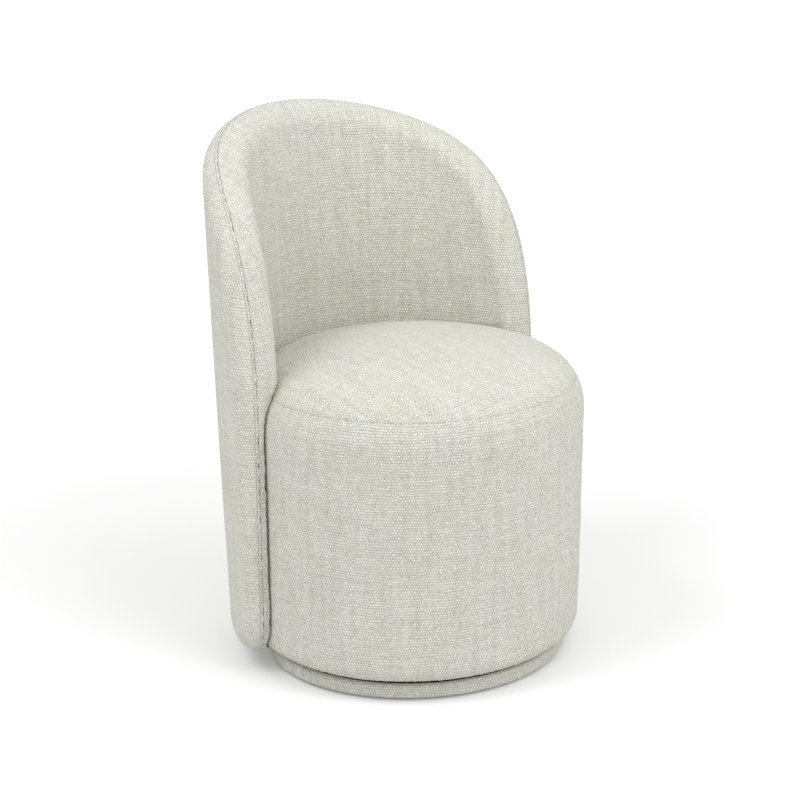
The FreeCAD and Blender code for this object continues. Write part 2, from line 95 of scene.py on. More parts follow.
def linear(red: float, green: float, blue: float) -> Colour:
    """Turn a colour written as 0 to 255 into the linear values that shaders use.

    Args:
        red: Red, 0 to 255.
        green: Green, 0 to 255.
        blue: Blue, 0 to 255.

    Returns:
        The linear colour.
    """
    values = [channel / 255.0 for channel in (red, green, blue)]
    return tuple(v / 12.92 if v <= 0.04045 else ((v + 0.055) / 1.055) ** 2.4 for v in values)


def smooth(low: float, high: float, value: Array) -> Array:
    """Rise smoothly from 0 at low to 1 at high.

    Args:
        low: Value where the result is 0.
        high: Value where the result is 1.
        value: Values to judge.

    Returns:
        The share between 0 and 1 for each value.
    """
    share = np.clip((value - low) / (high - low), 0.0, 1.0)
    return share * share * (3.0 - 2.0 * share)


def full_turn(count: int, start: float = 0.0) -> Array:
    """Even angles round a full turn, from a start."""
    return start + np.arange(count) * 2.0 * math.pi / count


@dataclass(frozen=True)
class Waves:
    """Soft bumps that vary in space, summed from a few seeded waves.

    Attributes:
        height: Usual height of a bump.
        spacing: Usual distance from bump to bump, in metres.
        seed: Seed of the waves' directions.
        count: Number of waves.
    """

    height: float
    spacing: float
    seed: int
    count: int = 14

    def at(self, points: Array) -> Array:
        """Work out the bumps.

        Args:
            points: Places, one row each.

        Returns:
            Their height at each place, above or below zero.
        """
        rng = np.random.default_rng(self.seed)
        total = np.zeros(len(points))
        for _ in range(self.count):
            direction = rng.normal(size=3)
            direction /= np.linalg.norm(direction)
            frequency = 2.0 * math.pi / (self.spacing * rng.uniform(0.6, 1.7))
            total += np.sin(points @ direction * frequency + rng.uniform(0.0, 2.0 * math.pi))
        return self.height * (total / math.sqrt(self.count))


class Graph:
    """Short way to write the nodes of a material or a world."""

    def __init__(self, owner: bpy.types.ID, output: str = "ShaderNodeOutputMaterial") -> None:
        """Start with no nodes but the output.

        Args:
            owner: The material or world.
            output: The output node's type.
        """
        owner.use_nodes = True
        self.owner = owner
        self.tree = owner.node_tree
        self.tree.nodes.clear()
        self.output = self.tree.nodes.new(output)

    @classmethod
    def material(cls, name: str) -> "Graph":
        """Start a new material."""
        return cls(bpy.data.materials.new(name))

    def link(self, source: object, target: object) -> None:
        """Give a socket its value.

        Args:
            source: Another node's output, or a plain value.
            target: The socket.
        """
        if isinstance(source, bpy.types.NodeSocket):
            self.tree.links.new(source, target)
        elif isinstance(source, tuple) and len(source) == 3 and target.type == "RGBA":
            target.default_value = (*source, 1.0)
        else:
            target.default_value = source

    def node(
            self, kind: str, inputs: dict[object, object] | None = None,
            **settings: object) -> bpy.types.Node:
        """Add a node.

        Args:
            kind: The node's type.
            inputs: Values or sockets by input name or number.
            settings: Attributes of the node.

        Returns:
            The new node.
        """
        made = self.tree.nodes.new(kind)
        for key, value in settings.items():
            setattr(made, key, value)
        for key, value in (inputs or {}).items():
            self.link(value, made.inputs[key])
        return made

    def math(self, operation: str, first: object, second: object = 0.0, third: object = 0.0) -> object:
        """Work out a value from up to three others, and return its socket."""
        inputs = {0: first, 1: second, 2: third}
        return self.node("ShaderNodeMath", inputs, operation=operation).outputs[0]

    def noise(self, vector: object, scale: float, detail: float = 2.0, rough: float = 0.5) -> object:
        """Noise value in space, as a socket."""
        inputs = {"Vector": vector, "Scale": scale, "Detail": detail, "Roughness": rough}
        return self.node("ShaderNodeTexNoise", inputs).outputs[0]

    def stretched(self, vector: object, scale: Triple, detail: float = 2.0, rough: float = 0.5) -> object:
        """Noise value drawn out along the axes, as a socket."""
        mapped = self.node("ShaderNodeMapping", {"Vector": vector, "Scale": scale}).outputs[0]
        return self.noise(mapped, 1.0, detail, rough)

    def vector(self, operation: str, first: object, second: object) -> object:
        """Work out a vector from two others, and return its socket."""
        return self.node("ShaderNodeVectorMath", {0: first, 1: second}, operation=operation).outputs[0]

    def solid(self) -> object:
        """Place in the object's own space, as a socket."""
        return self.node("ShaderNodeTexCoord").outputs["Object"]

    def spread(
            self, value: object, low: float, high: float, start: float = 0.0, end: float = 1.0) -> object:
        """Map a value from one range to another, clamped, as a socket."""
        inputs = {0: value, 1: start, 2: end, 3: low, 4: high}
        return self.node("ShaderNodeMapRange", inputs).outputs[0]

    def mix(self, share: object, first: object, second: object) -> object:
        """Mix two colours, as a socket."""
        inputs = {0: share, 6: first, 7: second}
        return self.node("ShaderNodeMix", inputs, data_type="RGBA").outputs[2]

    def bump(self, height: object, distance: float, strength: float = 1.0) -> object:
        """Bumped normal from a height, as a socket."""
        inputs = {"Height": height, "Distance": distance, "Strength": strength}
        return self.node("ShaderNodeBump", inputs).outputs[0]

    def seen(self) -> object:
        """Tell looks at a thing from the light that it throws.

        Returns:
            A socket that is 1 where it is seen straight, in a mirror or through glass, and else 0.
        """
        path = self.node("ShaderNodeLightPath")
        looked = self.math("MAXIMUM", path.outputs["Is Camera Ray"], path.outputs["Is Glossy Ray"])
        return self.math("MAXIMUM", looked, path.outputs["Is Transmission Ray"])

    def finish(self, shader: bpy.types.Node) -> None:
        """Join the last shader to the output."""
        self.tree.links.new(shader.outputs[0], self.output.inputs[0])

    def surface(self, **values: object) -> bpy.types.Material:
        """Finish with one principled shader.

        Args:
            values: Its inputs, with spaces in their names written as underscores.

        Returns:
            The finished material.
        """
        inputs = {key.replace("_", " "): value for key, value in values.items()}
        self.finish(self.node("ShaderNodeBsdfPrincipled", inputs))
        return self.owner


@dataclass(frozen=True)
class KnottedWeave:
    """Chunky upholstery weave: round knots in rows, each row set over by half a knot.

    Attributes:
        wander: Small shift of single knots.
        wander_scale: How often it changes, per metre.
        sway: Wider shift of the rows.
        sway_scale: How often it changes, per metre.
        relief: Height of a full knot for light and shade.
        light: Colour on top of the knots, painted light where they stand up.
        shade: Colour down between them, painted shade where the knots shade each other.
        warm: Warmer colour of the yarn's lots.
        cool: Cooler colour of the yarn's lots.
        yarn_share: How much of the yarn's own colour comes through.
        sheen: Soft shine of the loose fibres.
        roughness: Roughness of the yarn.
        roundness: How fast a knot falls off from its middle.
        fibre_turn: Angle of the twisted fibres to the rows, in radians.
        fibre_scale: Fibres per metre, along and across.
        streak_scale: Lighter and darker streaks per metre, along and across the rows.
        slub_scale: Thicker stretches of yarn per metre, along and across the rows.
        curl_scale: Loose curls per metre.
        patch_scale: Patches of warmer and cooler yarn per metre.
    """

    wander: float = 0.95 * MM
    wander_scale: float = 210.0
    sway: float = 1.3 * MM
    sway_scale: float = 55.0
    relief: float = 1.7 * MM
    light: Colour = linear(248, 248, 240)
    shade: Colour = linear(145, 144, 124)
    warm: Colour = linear(228, 227, 206)
    cool: Colour = linear(228, 229, 228)
    yarn_share: float = 0.22
    sheen: float = 0.25
    roughness: float = 0.92
    roundness: float = 3.6
    fibre_turn: float = 0.6
    fibre_scale: Triple = (420.0, 1100.0, 1.0)
    streak_scale: Triple = (95.0, 9.0, 1.0)
    slub_scale: Triple = (14.0, 230.0, 1.0)
    curl_scale: float = 620.0
    patch_scale: float = 16.0

    def material(self, name: str) -> bpy.types.Material:
        """Build the fabric's material over the weave map.

        Args:
            name: Name of the material.

        Returns:
            The material.
        """
        graph = Graph.material(name)
        flat = graph.node("ShaderNodeUVMap", uv_map=WEAVE_MAP).outputs[0]
        near = self._drift(graph, flat, self.wander_scale, self.wander)
        wide = self._drift(graph, flat, self.sway_scale, self.sway)
        place = graph.vector("ADD", flat, graph.vector("ADD", near, wide))
        height = self._height(graph, flat, place)
        streak = graph.stretched(flat, self.streak_scale)
        # The knots' height sets painted light on their tops and painted shade between them; the streaks are
        # the yarn's own.
        tone = graph.spread(height, 0.0, 1.0, 0.3, 1.02)
        tone = graph.math("MULTIPLY_ADD", graph.math("SUBTRACT", streak, 0.5), 0.42, tone)
        patch = graph.noise(graph.solid(), self.patch_scale)
        yarn = graph.mix(graph.spread(patch, 0.0, 1.0, 0.35, 0.65), self.cool, self.warm)
        painted_knot_shading = graph.mix(graph.spread(tone, 0.0, 1.0), self.shade, self.light)
        return graph.surface(
            Base_Color=graph.mix(self.yarn_share, painted_knot_shading, yarn), Roughness=self.roughness,
            Normal=graph.bump(height, self.relief), Specular_IOR_Level=0.12, Sheen_Weight=self.sheen,
            Sheen_Roughness=0.45)

    def _height(self, graph: Graph, flat: object, place: object) -> object:
        """Height of the cloth, from its knots, their twisted fibres and its slubs.

        Args:
            graph: The material's nodes.
            flat: Place on the flat cloth, as a socket.
            place: The same after the yarns' shift.

        Returns:
            The height's socket, 1 on a full knot.
        """
        split = graph.node("ShaderNodeSeparateXYZ", {0: place})
        rows = graph.math("DIVIDE", split.outputs[1], ROW_PITCH)
        row = graph.math("FLOOR", rows)
        offset = graph.math("MULTIPLY", graph.math("FLOORED_MODULO", row, 2.0), 0.5)
        knots = graph.math("ADD", graph.math("DIVIDE", split.outputs[0], KNOT_SPACING), offset)
        cell = graph.node("ShaderNodeCombineXYZ", {0: graph.math("FLOOR", knots), 1: row}).outputs[0]
        lot = graph.node("ShaderNodeTexWhiteNoise", {"Vector": cell}, noise_dimensions="2D").outputs[0]
        across = graph.math("MAXIMUM", self._hump(graph, knots), 0.0)
        across = graph.math("POWER", across, graph.spread(lot, 0.65, 1.7))
        knot = graph.math("POWER", graph.math("MULTIPLY", across, self._hump(graph, rows)), 0.7)
        other = graph.math("FRACT", graph.math("MULTIPLY", lot, 7.3))
        sized = graph.math("MULTIPLY", knot, graph.spread(other, 0.45, 1.0))
        curl = graph.noise(flat, self.curl_scale, 2.0, 0.7)
        sized = graph.math("MULTIPLY", sized, graph.spread(curl, 0.55, 1.25, 0.3, 0.7))
        turned = {"Vector": place, "Rotation": (0.0, 0.0, self.fibre_turn), "Scale": self.fibre_scale}
        twist = graph.node("ShaderNodeMapping", turned).outputs[0]
        height = graph.math("MULTIPLY_ADD", graph.noise(twist, 1.0, 3.0, 0.6), 0.5, sized)
        return graph.math("MULTIPLY_ADD", graph.stretched(flat, self.slub_scale, 1.0), 0.25, height)

    def _drift(self, graph: Graph, flat: object, scale: float, amount: float) -> object:
        """Uneven shift of the yarns.

        Args:
            graph: The material's nodes.
            flat: Place on the flat cloth, as a socket.
            scale: How often the shift changes, per metre.
            amount: Its usual size, in metres.

        Returns:
            The shift's socket.
        """
        drift = graph.node("ShaderNodeTexNoise", {"Vector": flat, "Scale": scale, "Detail": 2.0}).outputs[1]
        inputs = {0: graph.vector("SUBTRACT", drift, (0.5, 0.5, 0.5)), 3: 4.0 * amount}
        return graph.node("ShaderNodeVectorMath", inputs, operation="SCALE").outputs[0]

    def _hump(self, graph: Graph, value: object) -> object:
        """Round hump over each whole step of a value.

        Args:
            graph: The material's nodes.
            value: The value's socket.

        Returns:
            The hump's socket, 1 in the middle of a step.
        """
        part = graph.math("SUBTRACT", graph.math("FRACT", value), 0.5)
        squared = graph.math("MULTIPLY", part, part)
        return graph.math("SUBTRACT", 1.0, graph.math("MULTIPLY", squared, self.roundness))


@dataclass(frozen=True)
class Wood:
    """Wood of the hidden frame.

    Attributes:
        pale: Its paler colour.
        dark: Its darker colour.
        grain: How it is made.
        veneer: Thickness of a veneer, where it is ply.
        ply_scale: Lines per metre along the axes, where it is ply.
        solid_scale: Lines per metre along the axes, where it is solid.
        pore_scale: Pores per metre along the axes.
    """

    pale: Colour
    dark: Colour
    grain: Grain
    veneer: float = 1.5 * MM
    ply_scale: Triple = (9.0, 120.0, 9.0)
    solid_scale: Triple = (150.0, 150.0, 7.0)
    pore_scale: Triple = (700.0, 700.0, 60.0)

    def material(self, name: str) -> bpy.types.Material:
        """Build the wood, with veneers along the height where it is ply.

        Args:
            name: Name of the material.

        Returns:
            The material.
        """
        graph = Graph.material(name)
        solid = graph.solid()
        if self.grain is Grain.PLY:
            lines = graph.stretched(solid, self.ply_scale, 4.0, 0.6)
            height = graph.node("ShaderNodeSeparateXYZ", {0: solid}).outputs[2]
            layer = graph.math("PINGPONG", graph.math("DIVIDE", height, self.veneer), 1.0)
            lines = graph.math("MULTIPLY_ADD", layer, 0.18, lines)
        else:
            lines = graph.stretched(solid, self.solid_scale, 4.0, 0.6)
        pores = graph.stretched(solid, self.pore_scale)
        share = graph.spread(lines, 0.0, 1.0, 0.3, 0.75)
        colour = graph.mix(share, self.pale, self.dark)
        colour = graph.mix(graph.spread(pores, 0.0, 0.35, 0.55, 0.75), colour, self.dark)
        return graph.surface(
            Base_Color=colour, Roughness=graph.spread(pores, 0.5, 0.75),
            Normal=graph.bump(lines, 0.2 * MM, 0.6))


@dataclass(frozen=True)
class Steel:
    """Plated or polished steel.

    Attributes:
        tint: Its colour.
        roughness: Its middle roughness.
        scratches: Strength of its scratches.
        brushing: Scratches per metre along the axes.
    """

    tint: Colour
    roughness: float
    scratches: float
    brushing: Triple = (2500.0, 160.0, 160.0)

    def material(self, name: str) -> bpy.types.Material:
        """Build the metal, with fine scratches and a mottled plating.

        Args:
            name: Name of the material.

        Returns:
            The material.
        """
        graph = Graph.material(name)
        solid = graph.solid()
        mottle = graph.noise(solid, 90.0, 3.0)
        lines = graph.stretched(solid, self.brushing, 1.0)
        dull = tuple(0.72 * channel for channel in self.tint)
        colour = graph.mix(graph.spread(mottle, 0.0, 0.5, 0.4, 0.7), self.tint, dull)
        rough = graph.spread(mottle, self.roughness * 0.8, self.roughness * 1.3)
        return graph.surface(
            Base_Color=colour, Metallic=1.0, Roughness=rough,
            Normal=graph.bump(lines, 0.05 * MM, self.scratches))


@dataclass(frozen=True)
class Plastic:
    """Smooth even stuff with a fine spark texture: moulded plastic, or a near-black board whose colour is
    painted shade.

    Attributes:
        colour: Its colour.
        roughness: Its middle roughness.
    """

    colour: Colour
    roughness: float

    def material(self, name: str) -> bpy.types.Material:
        """Build the finish.

        Args:
            name: Name of the material.

        Returns:
            The material.
        """
        graph = Graph.material(name)
        solid = graph.solid()
        spark = graph.noise(solid, 1800.0, 2.0)
        paler = tuple(min(1.0, 1.5 * channel + 0.01) for channel in self.colour)
        colour = graph.mix(graph.spread(graph.noise(solid, 60.0), 0.0, 0.3), self.colour, paler)
        return graph.surface(
            Base_Color=colour, Roughness=graph.spread(spark, self.roughness - 0.1, self.roughness + 0.1),
            Normal=graph.bump(spark, 0.08 * MM, 0.5))


@dataclass(frozen=True)
class PlainWeave:
    """Plain woven strap or lining cloth, in the object's own space.

    Attributes:
        colour: Colour of its threads.
        pitch: Distance from thread to thread.
        relief: Height of the threads for light and shade.
    """

    colour: Colour
    pitch: float
    relief: float

    def material(self, name: str) -> bpy.types.Material:
        """Build the cloth from crossing threads.

        Args:
            name: Name of the material.

        Returns:
            The material.
        """
        graph = Graph.material(name)
        solid = graph.solid()
        split = graph.node("ShaderNodeSeparateXYZ", {0: solid})
        turn = math.pi / self.pitch
        warp = graph.math("ABSOLUTE", graph.math("SINE", graph.math("MULTIPLY", split.outputs[0], turn)))
        weft = graph.math("ABSOLUTE", graph.math("SINE", graph.math("MULTIPLY", split.outputs[1], turn)))
        height = graph.math("MULTIPLY", warp, weft)
        dark = tuple(0.45 * channel for channel in self.colour)
        fuzz = graph.noise(solid, 900.0, 2.0)
        colour = graph.mix(graph.spread(height, 0.0, 1.0), dark, self.colour)
        colour = graph.mix(graph.spread(fuzz, 0.0, 0.3), colour, dark)
        return graph.surface(Base_Color=colour, Roughness=0.9, Normal=graph.bump(height, self.relief))


@dataclass
class Shell:
    """Vertices, faces and weave places of a piece while it is put together.

    Attributes:
        places: Blocks of vertices' places.
        weave: The same blocks' places on the flat cloth.
        faces: Blocks of quads, as vertices' numbers.
        count: Number of vertices so far.
    """

    places: list[Array] = field(default_factory=list)
    weave: list[Array] = field(default_factory=list)
    faces: list[Array] = field(default_factory=list)
    count: int = 0

    def add(self, places: Array, weave: Array) -> Array:
        """Add vertices and return their numbers.

        Args:
            places: Their places, one row each.
            weave: Their places on the flat cloth.

        Returns:
            The numbers of the new vertices.
        """
        self.places.append(places)
        self.weave.append(weave)
        numbers = np.arange(self.count, self.count + len(places))
        self.count += len(places)
        return numbers

    def bridge(self, first: Array, second: Array, flip: bool = False) -> None:
        """Join two closed rings of the same length with quads.

        Args:
            first: Numbers of the first ring's vertices.
            second: Numbers of the second ring's vertices.
            flip: Whether the faces look the other way.
        """
        if flip:
            first, second = second, first
        self.faces.append(np.stack([first, np.roll(first, -1), np.roll(second, -1), second], axis=1))

    def wrap(self, rings: list[Array]) -> None:
        """Join each ring to the next one, and the last to the first."""
        for ring, following in zip(rings, rings[1:] + rings[:1]):
            self.bridge(ring, following, flip=True)

    def piece(self, name: str, seam_turns: bool = True) -> bpy.types.Object:
        """Make the object.

        Args:
            name: Name of the piece.
            seam_turns: Whether the weave map runs round and meets itself.

        Returns:
            The new object.
        """
        places = np.concatenate(self.places)
        weave = np.concatenate(self.weave)
        faces = np.concatenate(self.faces)
        mesh = bpy.data.meshes.new(name)
        mesh.from_pydata(places.tolist(), [], faces.tolist())
        layer = mesh.uv_layers.new(name=WEAVE_MAP)
        corners = weave[faces.ravel()].reshape(len(faces), 4, 2)
        if seam_turns:
            girth = weave[:, 0].max() - weave[:, 0].min()
            wrapped = corners[:, :, 0] < corners[:, :, 0].max(axis=1, keepdims=True) - girth / 2
            columns = len(np.unique(weave[:, 0]))
            corners[:, :, 0] += wrapped * (girth * columns / (columns - 1))
        layer.data.foreach_set("uv", corners.ravel().astype(np.float32))
        mesh.polygons.foreach_set("use_smooth", np.ones(len(faces), dtype=bool))
        mesh.update()
        made = bpy.data.objects.new(name, mesh)
        bpy.context.scene.collection.objects.link(made)
        return made


class Disc:
    """Quads over a round field: a soft square in the middle with rings round it."""

    CORNER_BULGE = 0.12

    def __init__(self, side: int, rings: int, core: float) -> None:
        """Lay out the quads.

        Args:
            side: Quads along a side of the square.
            rings: Rings round the square.
            core: Radius of the square, as a share of the field.
        """
        steps = np.linspace(-1.0, 1.0, side + 1) * math.pi / 4
        first, second = np.meshgrid(steps, steps, indexing="ij")
        corner_reach = 1.0 + self.CORNER_BULGE * (first * second * 16 / math.pi ** 2) ** 2
        x = core * corner_reach * math.sqrt(2) * np.sin(first) * np.cos(second)
        y = core * corner_reach * math.sqrt(2) * np.sin(second) * np.cos(first)
        number = np.arange((side + 1) ** 2).reshape(side + 1, side + 1)
        edges = (number[-1], number[::-1, -1], number[0, ::-1], number[:, 0])
        border = np.concatenate([edge[:-1] for edge in edges])
        self.around = 4 * side
        self.angles = full_turn(self.around, -math.pi / 4)
        flat = np.stack([x.ravel(), y.ravel()], axis=1)
        rim = np.stack([np.cos(self.angles), np.sin(self.angles)], axis=1)
        layers = [flat]
        corners = (number[:-1, :-1], number[1:, :-1], number[1:, 1:], number[:-1, 1:])
        faces = [np.stack([corner.ravel() for corner in corners], axis=1)]
        last = border
        total = len(flat)
        for ring in range(1, rings + 1):
            share = ring / rings
            layers.append(flat[border] * (1.0 - share) + rim * share)
            current = np.arange(total, total + self.around)
            faces.append(np.stack([last, current, np.roll(current, -1), np.roll(last, -1)], axis=1))
            last = current
            total += self.around
        places = np.concatenate(layers)
        self.radius = np.hypot(places[:, 0], places[:, 1])
        self.angle = np.arctan2(places[:, 1], places[:, 0])
        self.faces = np.concatenate(faces)
        self.rim = last

    def lay(self, shell: Shell, places: Array, weave: Array, flip: bool = False) -> Array:
        """Add the field to a shell.

        Args:
            shell: The shell.
            places: Place of each vertex.
            weave: Its place on the flat cloth.
            flip: Whether the faces look the other way.

        Returns:
            The numbers of the rim's vertices, in order round it.
        """
        numbers = shell.add(places, weave)
        faces = numbers[self.faces]
        shell.faces.append(faces[:, ::-1] if flip else faces)
        return numbers[self.rim]


@dataclass(frozen=True)
class Oval:
    """Plan of the drum or the plinth: an oval whose front and rear halves may differ in depth.

    Attributes:
        front_ratio: Depth of the front half to the half width.
        rear_ratio: Depth of the rear half to the half width.
    """

    front_ratio: float
    rear_ratio: float

    def place(self, radius: float | Array, angle: Array, height: float | Array) -> Array:
        """Places on the oval.

        Args:
            radius: Half width of the oval that each place lies on.
            angle: Angle from +X, anticlockwise seen from above.
            height: Height of each place.

        Returns:
            The places, one row each.
        """
        ratio = np.where(np.sin(angle) < 0.0, self.front_ratio, self.rear_ratio)
        x = radius * np.cos(angle)
        y = radius * np.sin(angle) * ratio
        return np.stack(np.broadcast_arrays(x, y, height), axis=1).astype(float)

    def radius_at(self, places: Array) -> Array:
        """Half width of the oval through each place."""
        ratio = np.where(places[:, 1] < 0.0, self.front_ratio, self.rear_ratio)
        return np.hypot(places[:, 0], places[:, 1] / ratio)

    def girth(self, radius: float, angles: Array) -> Array:
        """Distance round the oval from -Y.

        Args:
            radius: Half width of the oval.
            angles: Where to, as angles from +X.

        Returns:
            The distance to each angle, in metres.
        """
        fine = np.linspace(-math.pi / 2, 1.5 * math.pi, 2881)
        turned = (angles + math.pi / 2) % (2.0 * math.pi) - math.pi / 2
        return np.interp(turned, fine, lengths(self.place(radius, fine, 0.0)))


def arc(centre: tuple[float, float], radius: float, start: float, end: float, count: int) -> Array:
    """Points of an arc in a section.

    Args:
        centre: Its middle, across and up.
        radius: Its radius.
        start: Angle of its first point from the level, in degrees.
        end: Angle of its last point.
        count: Number of points.

    Returns:
        The points, one row each.
    """
    turn = np.radians(np.linspace(start, end, count))
    return np.stack([centre[0] + radius * np.cos(turn), centre[1] + radius * np.sin(turn)], axis=1)


def line(start: Array, end: Array, count: int) -> Array:
    """Points of a straight stretch, without its ends."""
    share = np.linspace(0.0, 1.0, count + 2)[1:-1, None]
    return np.asarray(start) * (1.0 - share) + np.asarray(end) * share


@dataclass
class DrumForm:
    """Outer form of the drum, and the seam where its covers meet.

    Attributes:
        half_width: Half width at the top of the side.
        taper: How much narrower each side is at the foot.
        bottom: Height of the underside.
        top: Height of the crown's middle.
        foot: Radius of the edge under the side.
        shoulder: Radius of the edge between the side and the crown.
        crown: Radius of the crown.
        seam: Height of the seam.
        roll: Radius of the covers' edges turned in there.
        plan: Its oval.
    """

    half_width: float = 257.0 * MM
    taper: float = 3.0 * MM
    bottom: float = 33.0 * MM
    top: float = 485.0 * MM
    foot: float = 24.0 * MM
    shoulder: float = 80.0 * MM
    crown: float = 722.0 * MM
    seam: float = 425.0 * MM
    roll: float = 0.1 * MM
    plan: Oval = Oval(238.5 / 257.0, 254.0 / 257.0)

    def centres(self) -> tuple[tuple[float, float], tuple[float, float], tuple[float, float], float]:
        """Work out where the section's arcs turn.

        Returns:
            Middles of the foot, shoulder and crown arcs, and the shoulder's upper end in degrees.
        """
        foot = (self.half_width - self.taper - self.foot, self.bottom + self.foot)
        across = self.half_width - self.shoulder
        reach = self.crown - self.shoulder
        crown_z = self.top - self.crown
        shoulder = (across, crown_z + math.sqrt(reach ** 2 - across ** 2))
        return foot, shoulder, (0.0, crown_z), 90.0 - math.degrees(math.asin(across / reach))

    def upper(self, low: float, points: int = 60) -> Array:
        """Section from the middle of the crown outwards and down to a height.

        Args:
            low: Height of its last point, on the shoulder.
            points: Points on each of its two arcs.

        Returns:
            The points, one row each.
        """
        _, shoulder, crown, join = self.centres()
        last = math.degrees(math.asin((low - shoulder[1]) / self.shoulder))
        over = arc(crown, self.crown, 90.0, join, points)
        return np.concatenate([over, arc(shoulder, self.shoulder, join, last, points)[1:]])

    def radius_at(self, height: Array) -> Array:
        """Find the drum's half width.

        Args:
            height: Heights.

        Returns:
            The half width at each of them, 0 above and below the drum.
        """
        foot, shoulder, crown, join = self.centres()
        join_z = crown[1] + self.crown * math.sin(math.radians(join))
        low = foot[0] + np.sqrt(np.clip(self.foot ** 2 - (height - foot[1]) ** 2, 0.0, None))
        rise = np.clip((height - foot[1]) / (shoulder[1] - foot[1]), 0.0, 1.0)
        side = self.half_width - self.taper * (1.0 - rise)
        bend = shoulder[0] + np.sqrt(np.clip(self.shoulder ** 2 - (height - shoulder[1]) ** 2, 0.0, None))
        over = np.sqrt(np.clip(self.crown ** 2 - (height - crown[1]) ** 2, 0.0, None))
        found = np.where(height < foot[1], low, side)
        found = np.where(height > shoulder[1], bend, found)
        found = np.where(height > join_z, over, found)
        return np.where((height < self.bottom) | (height > self.top), 0.0, found)


def push_out(places: Array, amount: Array) -> Array:
    """Move places level away from the swivel's axis.

    Args:
        places: The places, one row each.
        amount: How far each is moved.

    Returns:
        The moved places.
    """
    moved = places.copy()
    moved[:, :2] += places[:, :2] / np.linalg.norm(places[:, :2], axis=1, keepdims=True) * amount[:, None]
    return moved


@dataclass(frozen=True)
class YarnKnots:
    """Real knots of the weave on a band of cloth, uneven from knot to knot.

    Attributes:
        height: Height of the tallest knot.
        seed: Seed of the knots' sizes, which change from row to row.
        lots: Number of sizes before they come round again.
    """

    height: float
    seed: int
    lots: int = 600

    def at(self, along: Array, down: float) -> Array:
        """Work out how high the cloth stands.

        Args:
            along: Distance along the band at each place.
            down: Distance across the band.

        Returns:
            The height at each place.
        """
        row = math.floor(down / ROW_PITCH)
        share = along / KNOT_SPACING + 0.5 * (row % 2)
        lot = np.random.default_rng(self.seed + row).uniform(0.3, 1.0, self.lots)
        size = lot[np.floor(share).astype(int) % self.lots]
        hump = 0.5 - 0.5 * np.cos(2.0 * math.pi * share)
        across = 0.5 - 0.5 * math.cos(2.0 * math.pi * down / ROW_PITCH)
        return self.height * size * hump * (0.35 + 0.65 * across)


def lengths(points: Array) -> Array:
    """Distance along a line of points to each of them."""
    steps = np.linalg.norm(np.diff(points, axis=0), axis=1)
    return np.concatenate([[0.0], np.cumsum(steps)])


def turned_cover(
        name: str, plan: Oval, half_width: float, around: int, section: Array,
        relief: Callable[[Array, Array, Array, float], Array]) -> bpy.types.Object:
    """Turn a closed section round an oval, as a cover whose weave runs round it.

    Args:
        name: Name of the piece.
        plan: The oval.
        half_width: Half width at which the weave has its true spacing.
        around: Steps round the oval.
        section: The section, down the outside, under and back up inside.
        relief: Gives a row its uneven surface, from its places, the distance round the oval to each,
            the row's point of the section and the distance along the section to it.

    Returns:
        The piece.
    """
    angles = full_turn(around, -math.pi / 2)
    along = plan.girth(half_width, angles)
    shell = Shell()
    rings = []
    for point, distance in zip(section, lengths(section)):
        row = relief(plan.place(point[0], angles, point[1]), along, point, distance)
        rings.append(shell.add(row, np.stack([along, np.full(around, -distance)], axis=1)))
    shell.wrap(rings)
    return shell.piece(name)


def vertex_places(mesh: bpy.types.Mesh) -> Array:
    """Read where a mesh's vertices are.

    Args:
        mesh: The mesh.

    Returns:
        Their places, one row each.
    """
    places = np.empty(len(mesh.vertices) * 3)
    mesh.vertices.foreach_get("co", places)
    return places.reshape(-1, 3)


def swell(piece: bpy.types.Object, held: Array, pressure: float, cap: float, frames: int = 16) -> None:
    """Let a padded piece fill out as cloth under pressure, then keep the result.

    Args:
        piece: The piece, a closed mesh.
        held: For each vertex, 1 where it is sewn fast and 0 where it is free.
        pressure: Pressure inside it.
        cap: The furthest that a point may move, in metres.
        frames: Frames to run.
    """
    scene = bpy.context.scene
    group = piece.vertex_groups.new(name="sewn")
    for number in np.nonzero(held > 0.01)[0]:
        group.add([int(number)], float(held[number]), "REPLACE")
    before = vertex_places(piece.data)
    cloth = piece.modifiers.new("cloth", "CLOTH")
    cloth.settings.use_pressure = True
    cloth.settings.uniform_pressure_force = pressure
    cloth.settings.vertex_group_mass = "sewn"
    cloth.settings.effector_weights.gravity = 0.0
    cloth.settings.quality = 4
    cloth.collision_settings.use_collision = False
    cloth.point_cache.frame_start = 1
    cloth.point_cache.frame_end = frames
    for frame in range(1, frames + 1):
        scene.frame_set(frame)
    solved = piece.evaluated_get(bpy.context.evaluated_depsgraph_get())
    move = vertex_places(solved.data) - before
    piece.modifiers.remove(cloth)
    scene.frame_set(1)
    far = np.linalg.norm(move, axis=1, keepdims=True)
    move *= cap * np.tanh(far / cap) / np.maximum(far, 1e-9)
    piece.data.vertices.foreach_set("co", (before + move).ravel())
    piece.data.update()
    LOG.info("%s filled out by up to %.1f mm", piece.name, 1000 * np.linalg.norm(move, axis=1).max())


def fit_out(piece: bpy.types.Object, body: Body, nodes: list[str]) -> None:
    """Put a piece on its body, in place of its nodes, and report it.

    Args:
        piece: The piece.
        body: The rigid group that it rides on.
        nodes: The nodes that it stands for.
    """
    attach(piece, body.value)
    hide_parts(*nodes)
    faces = len(piece.data.polygons)
    LOG.info("%s: %d faces on %s, for %s", piece.name, faces, body.value, ", ".join(nodes))


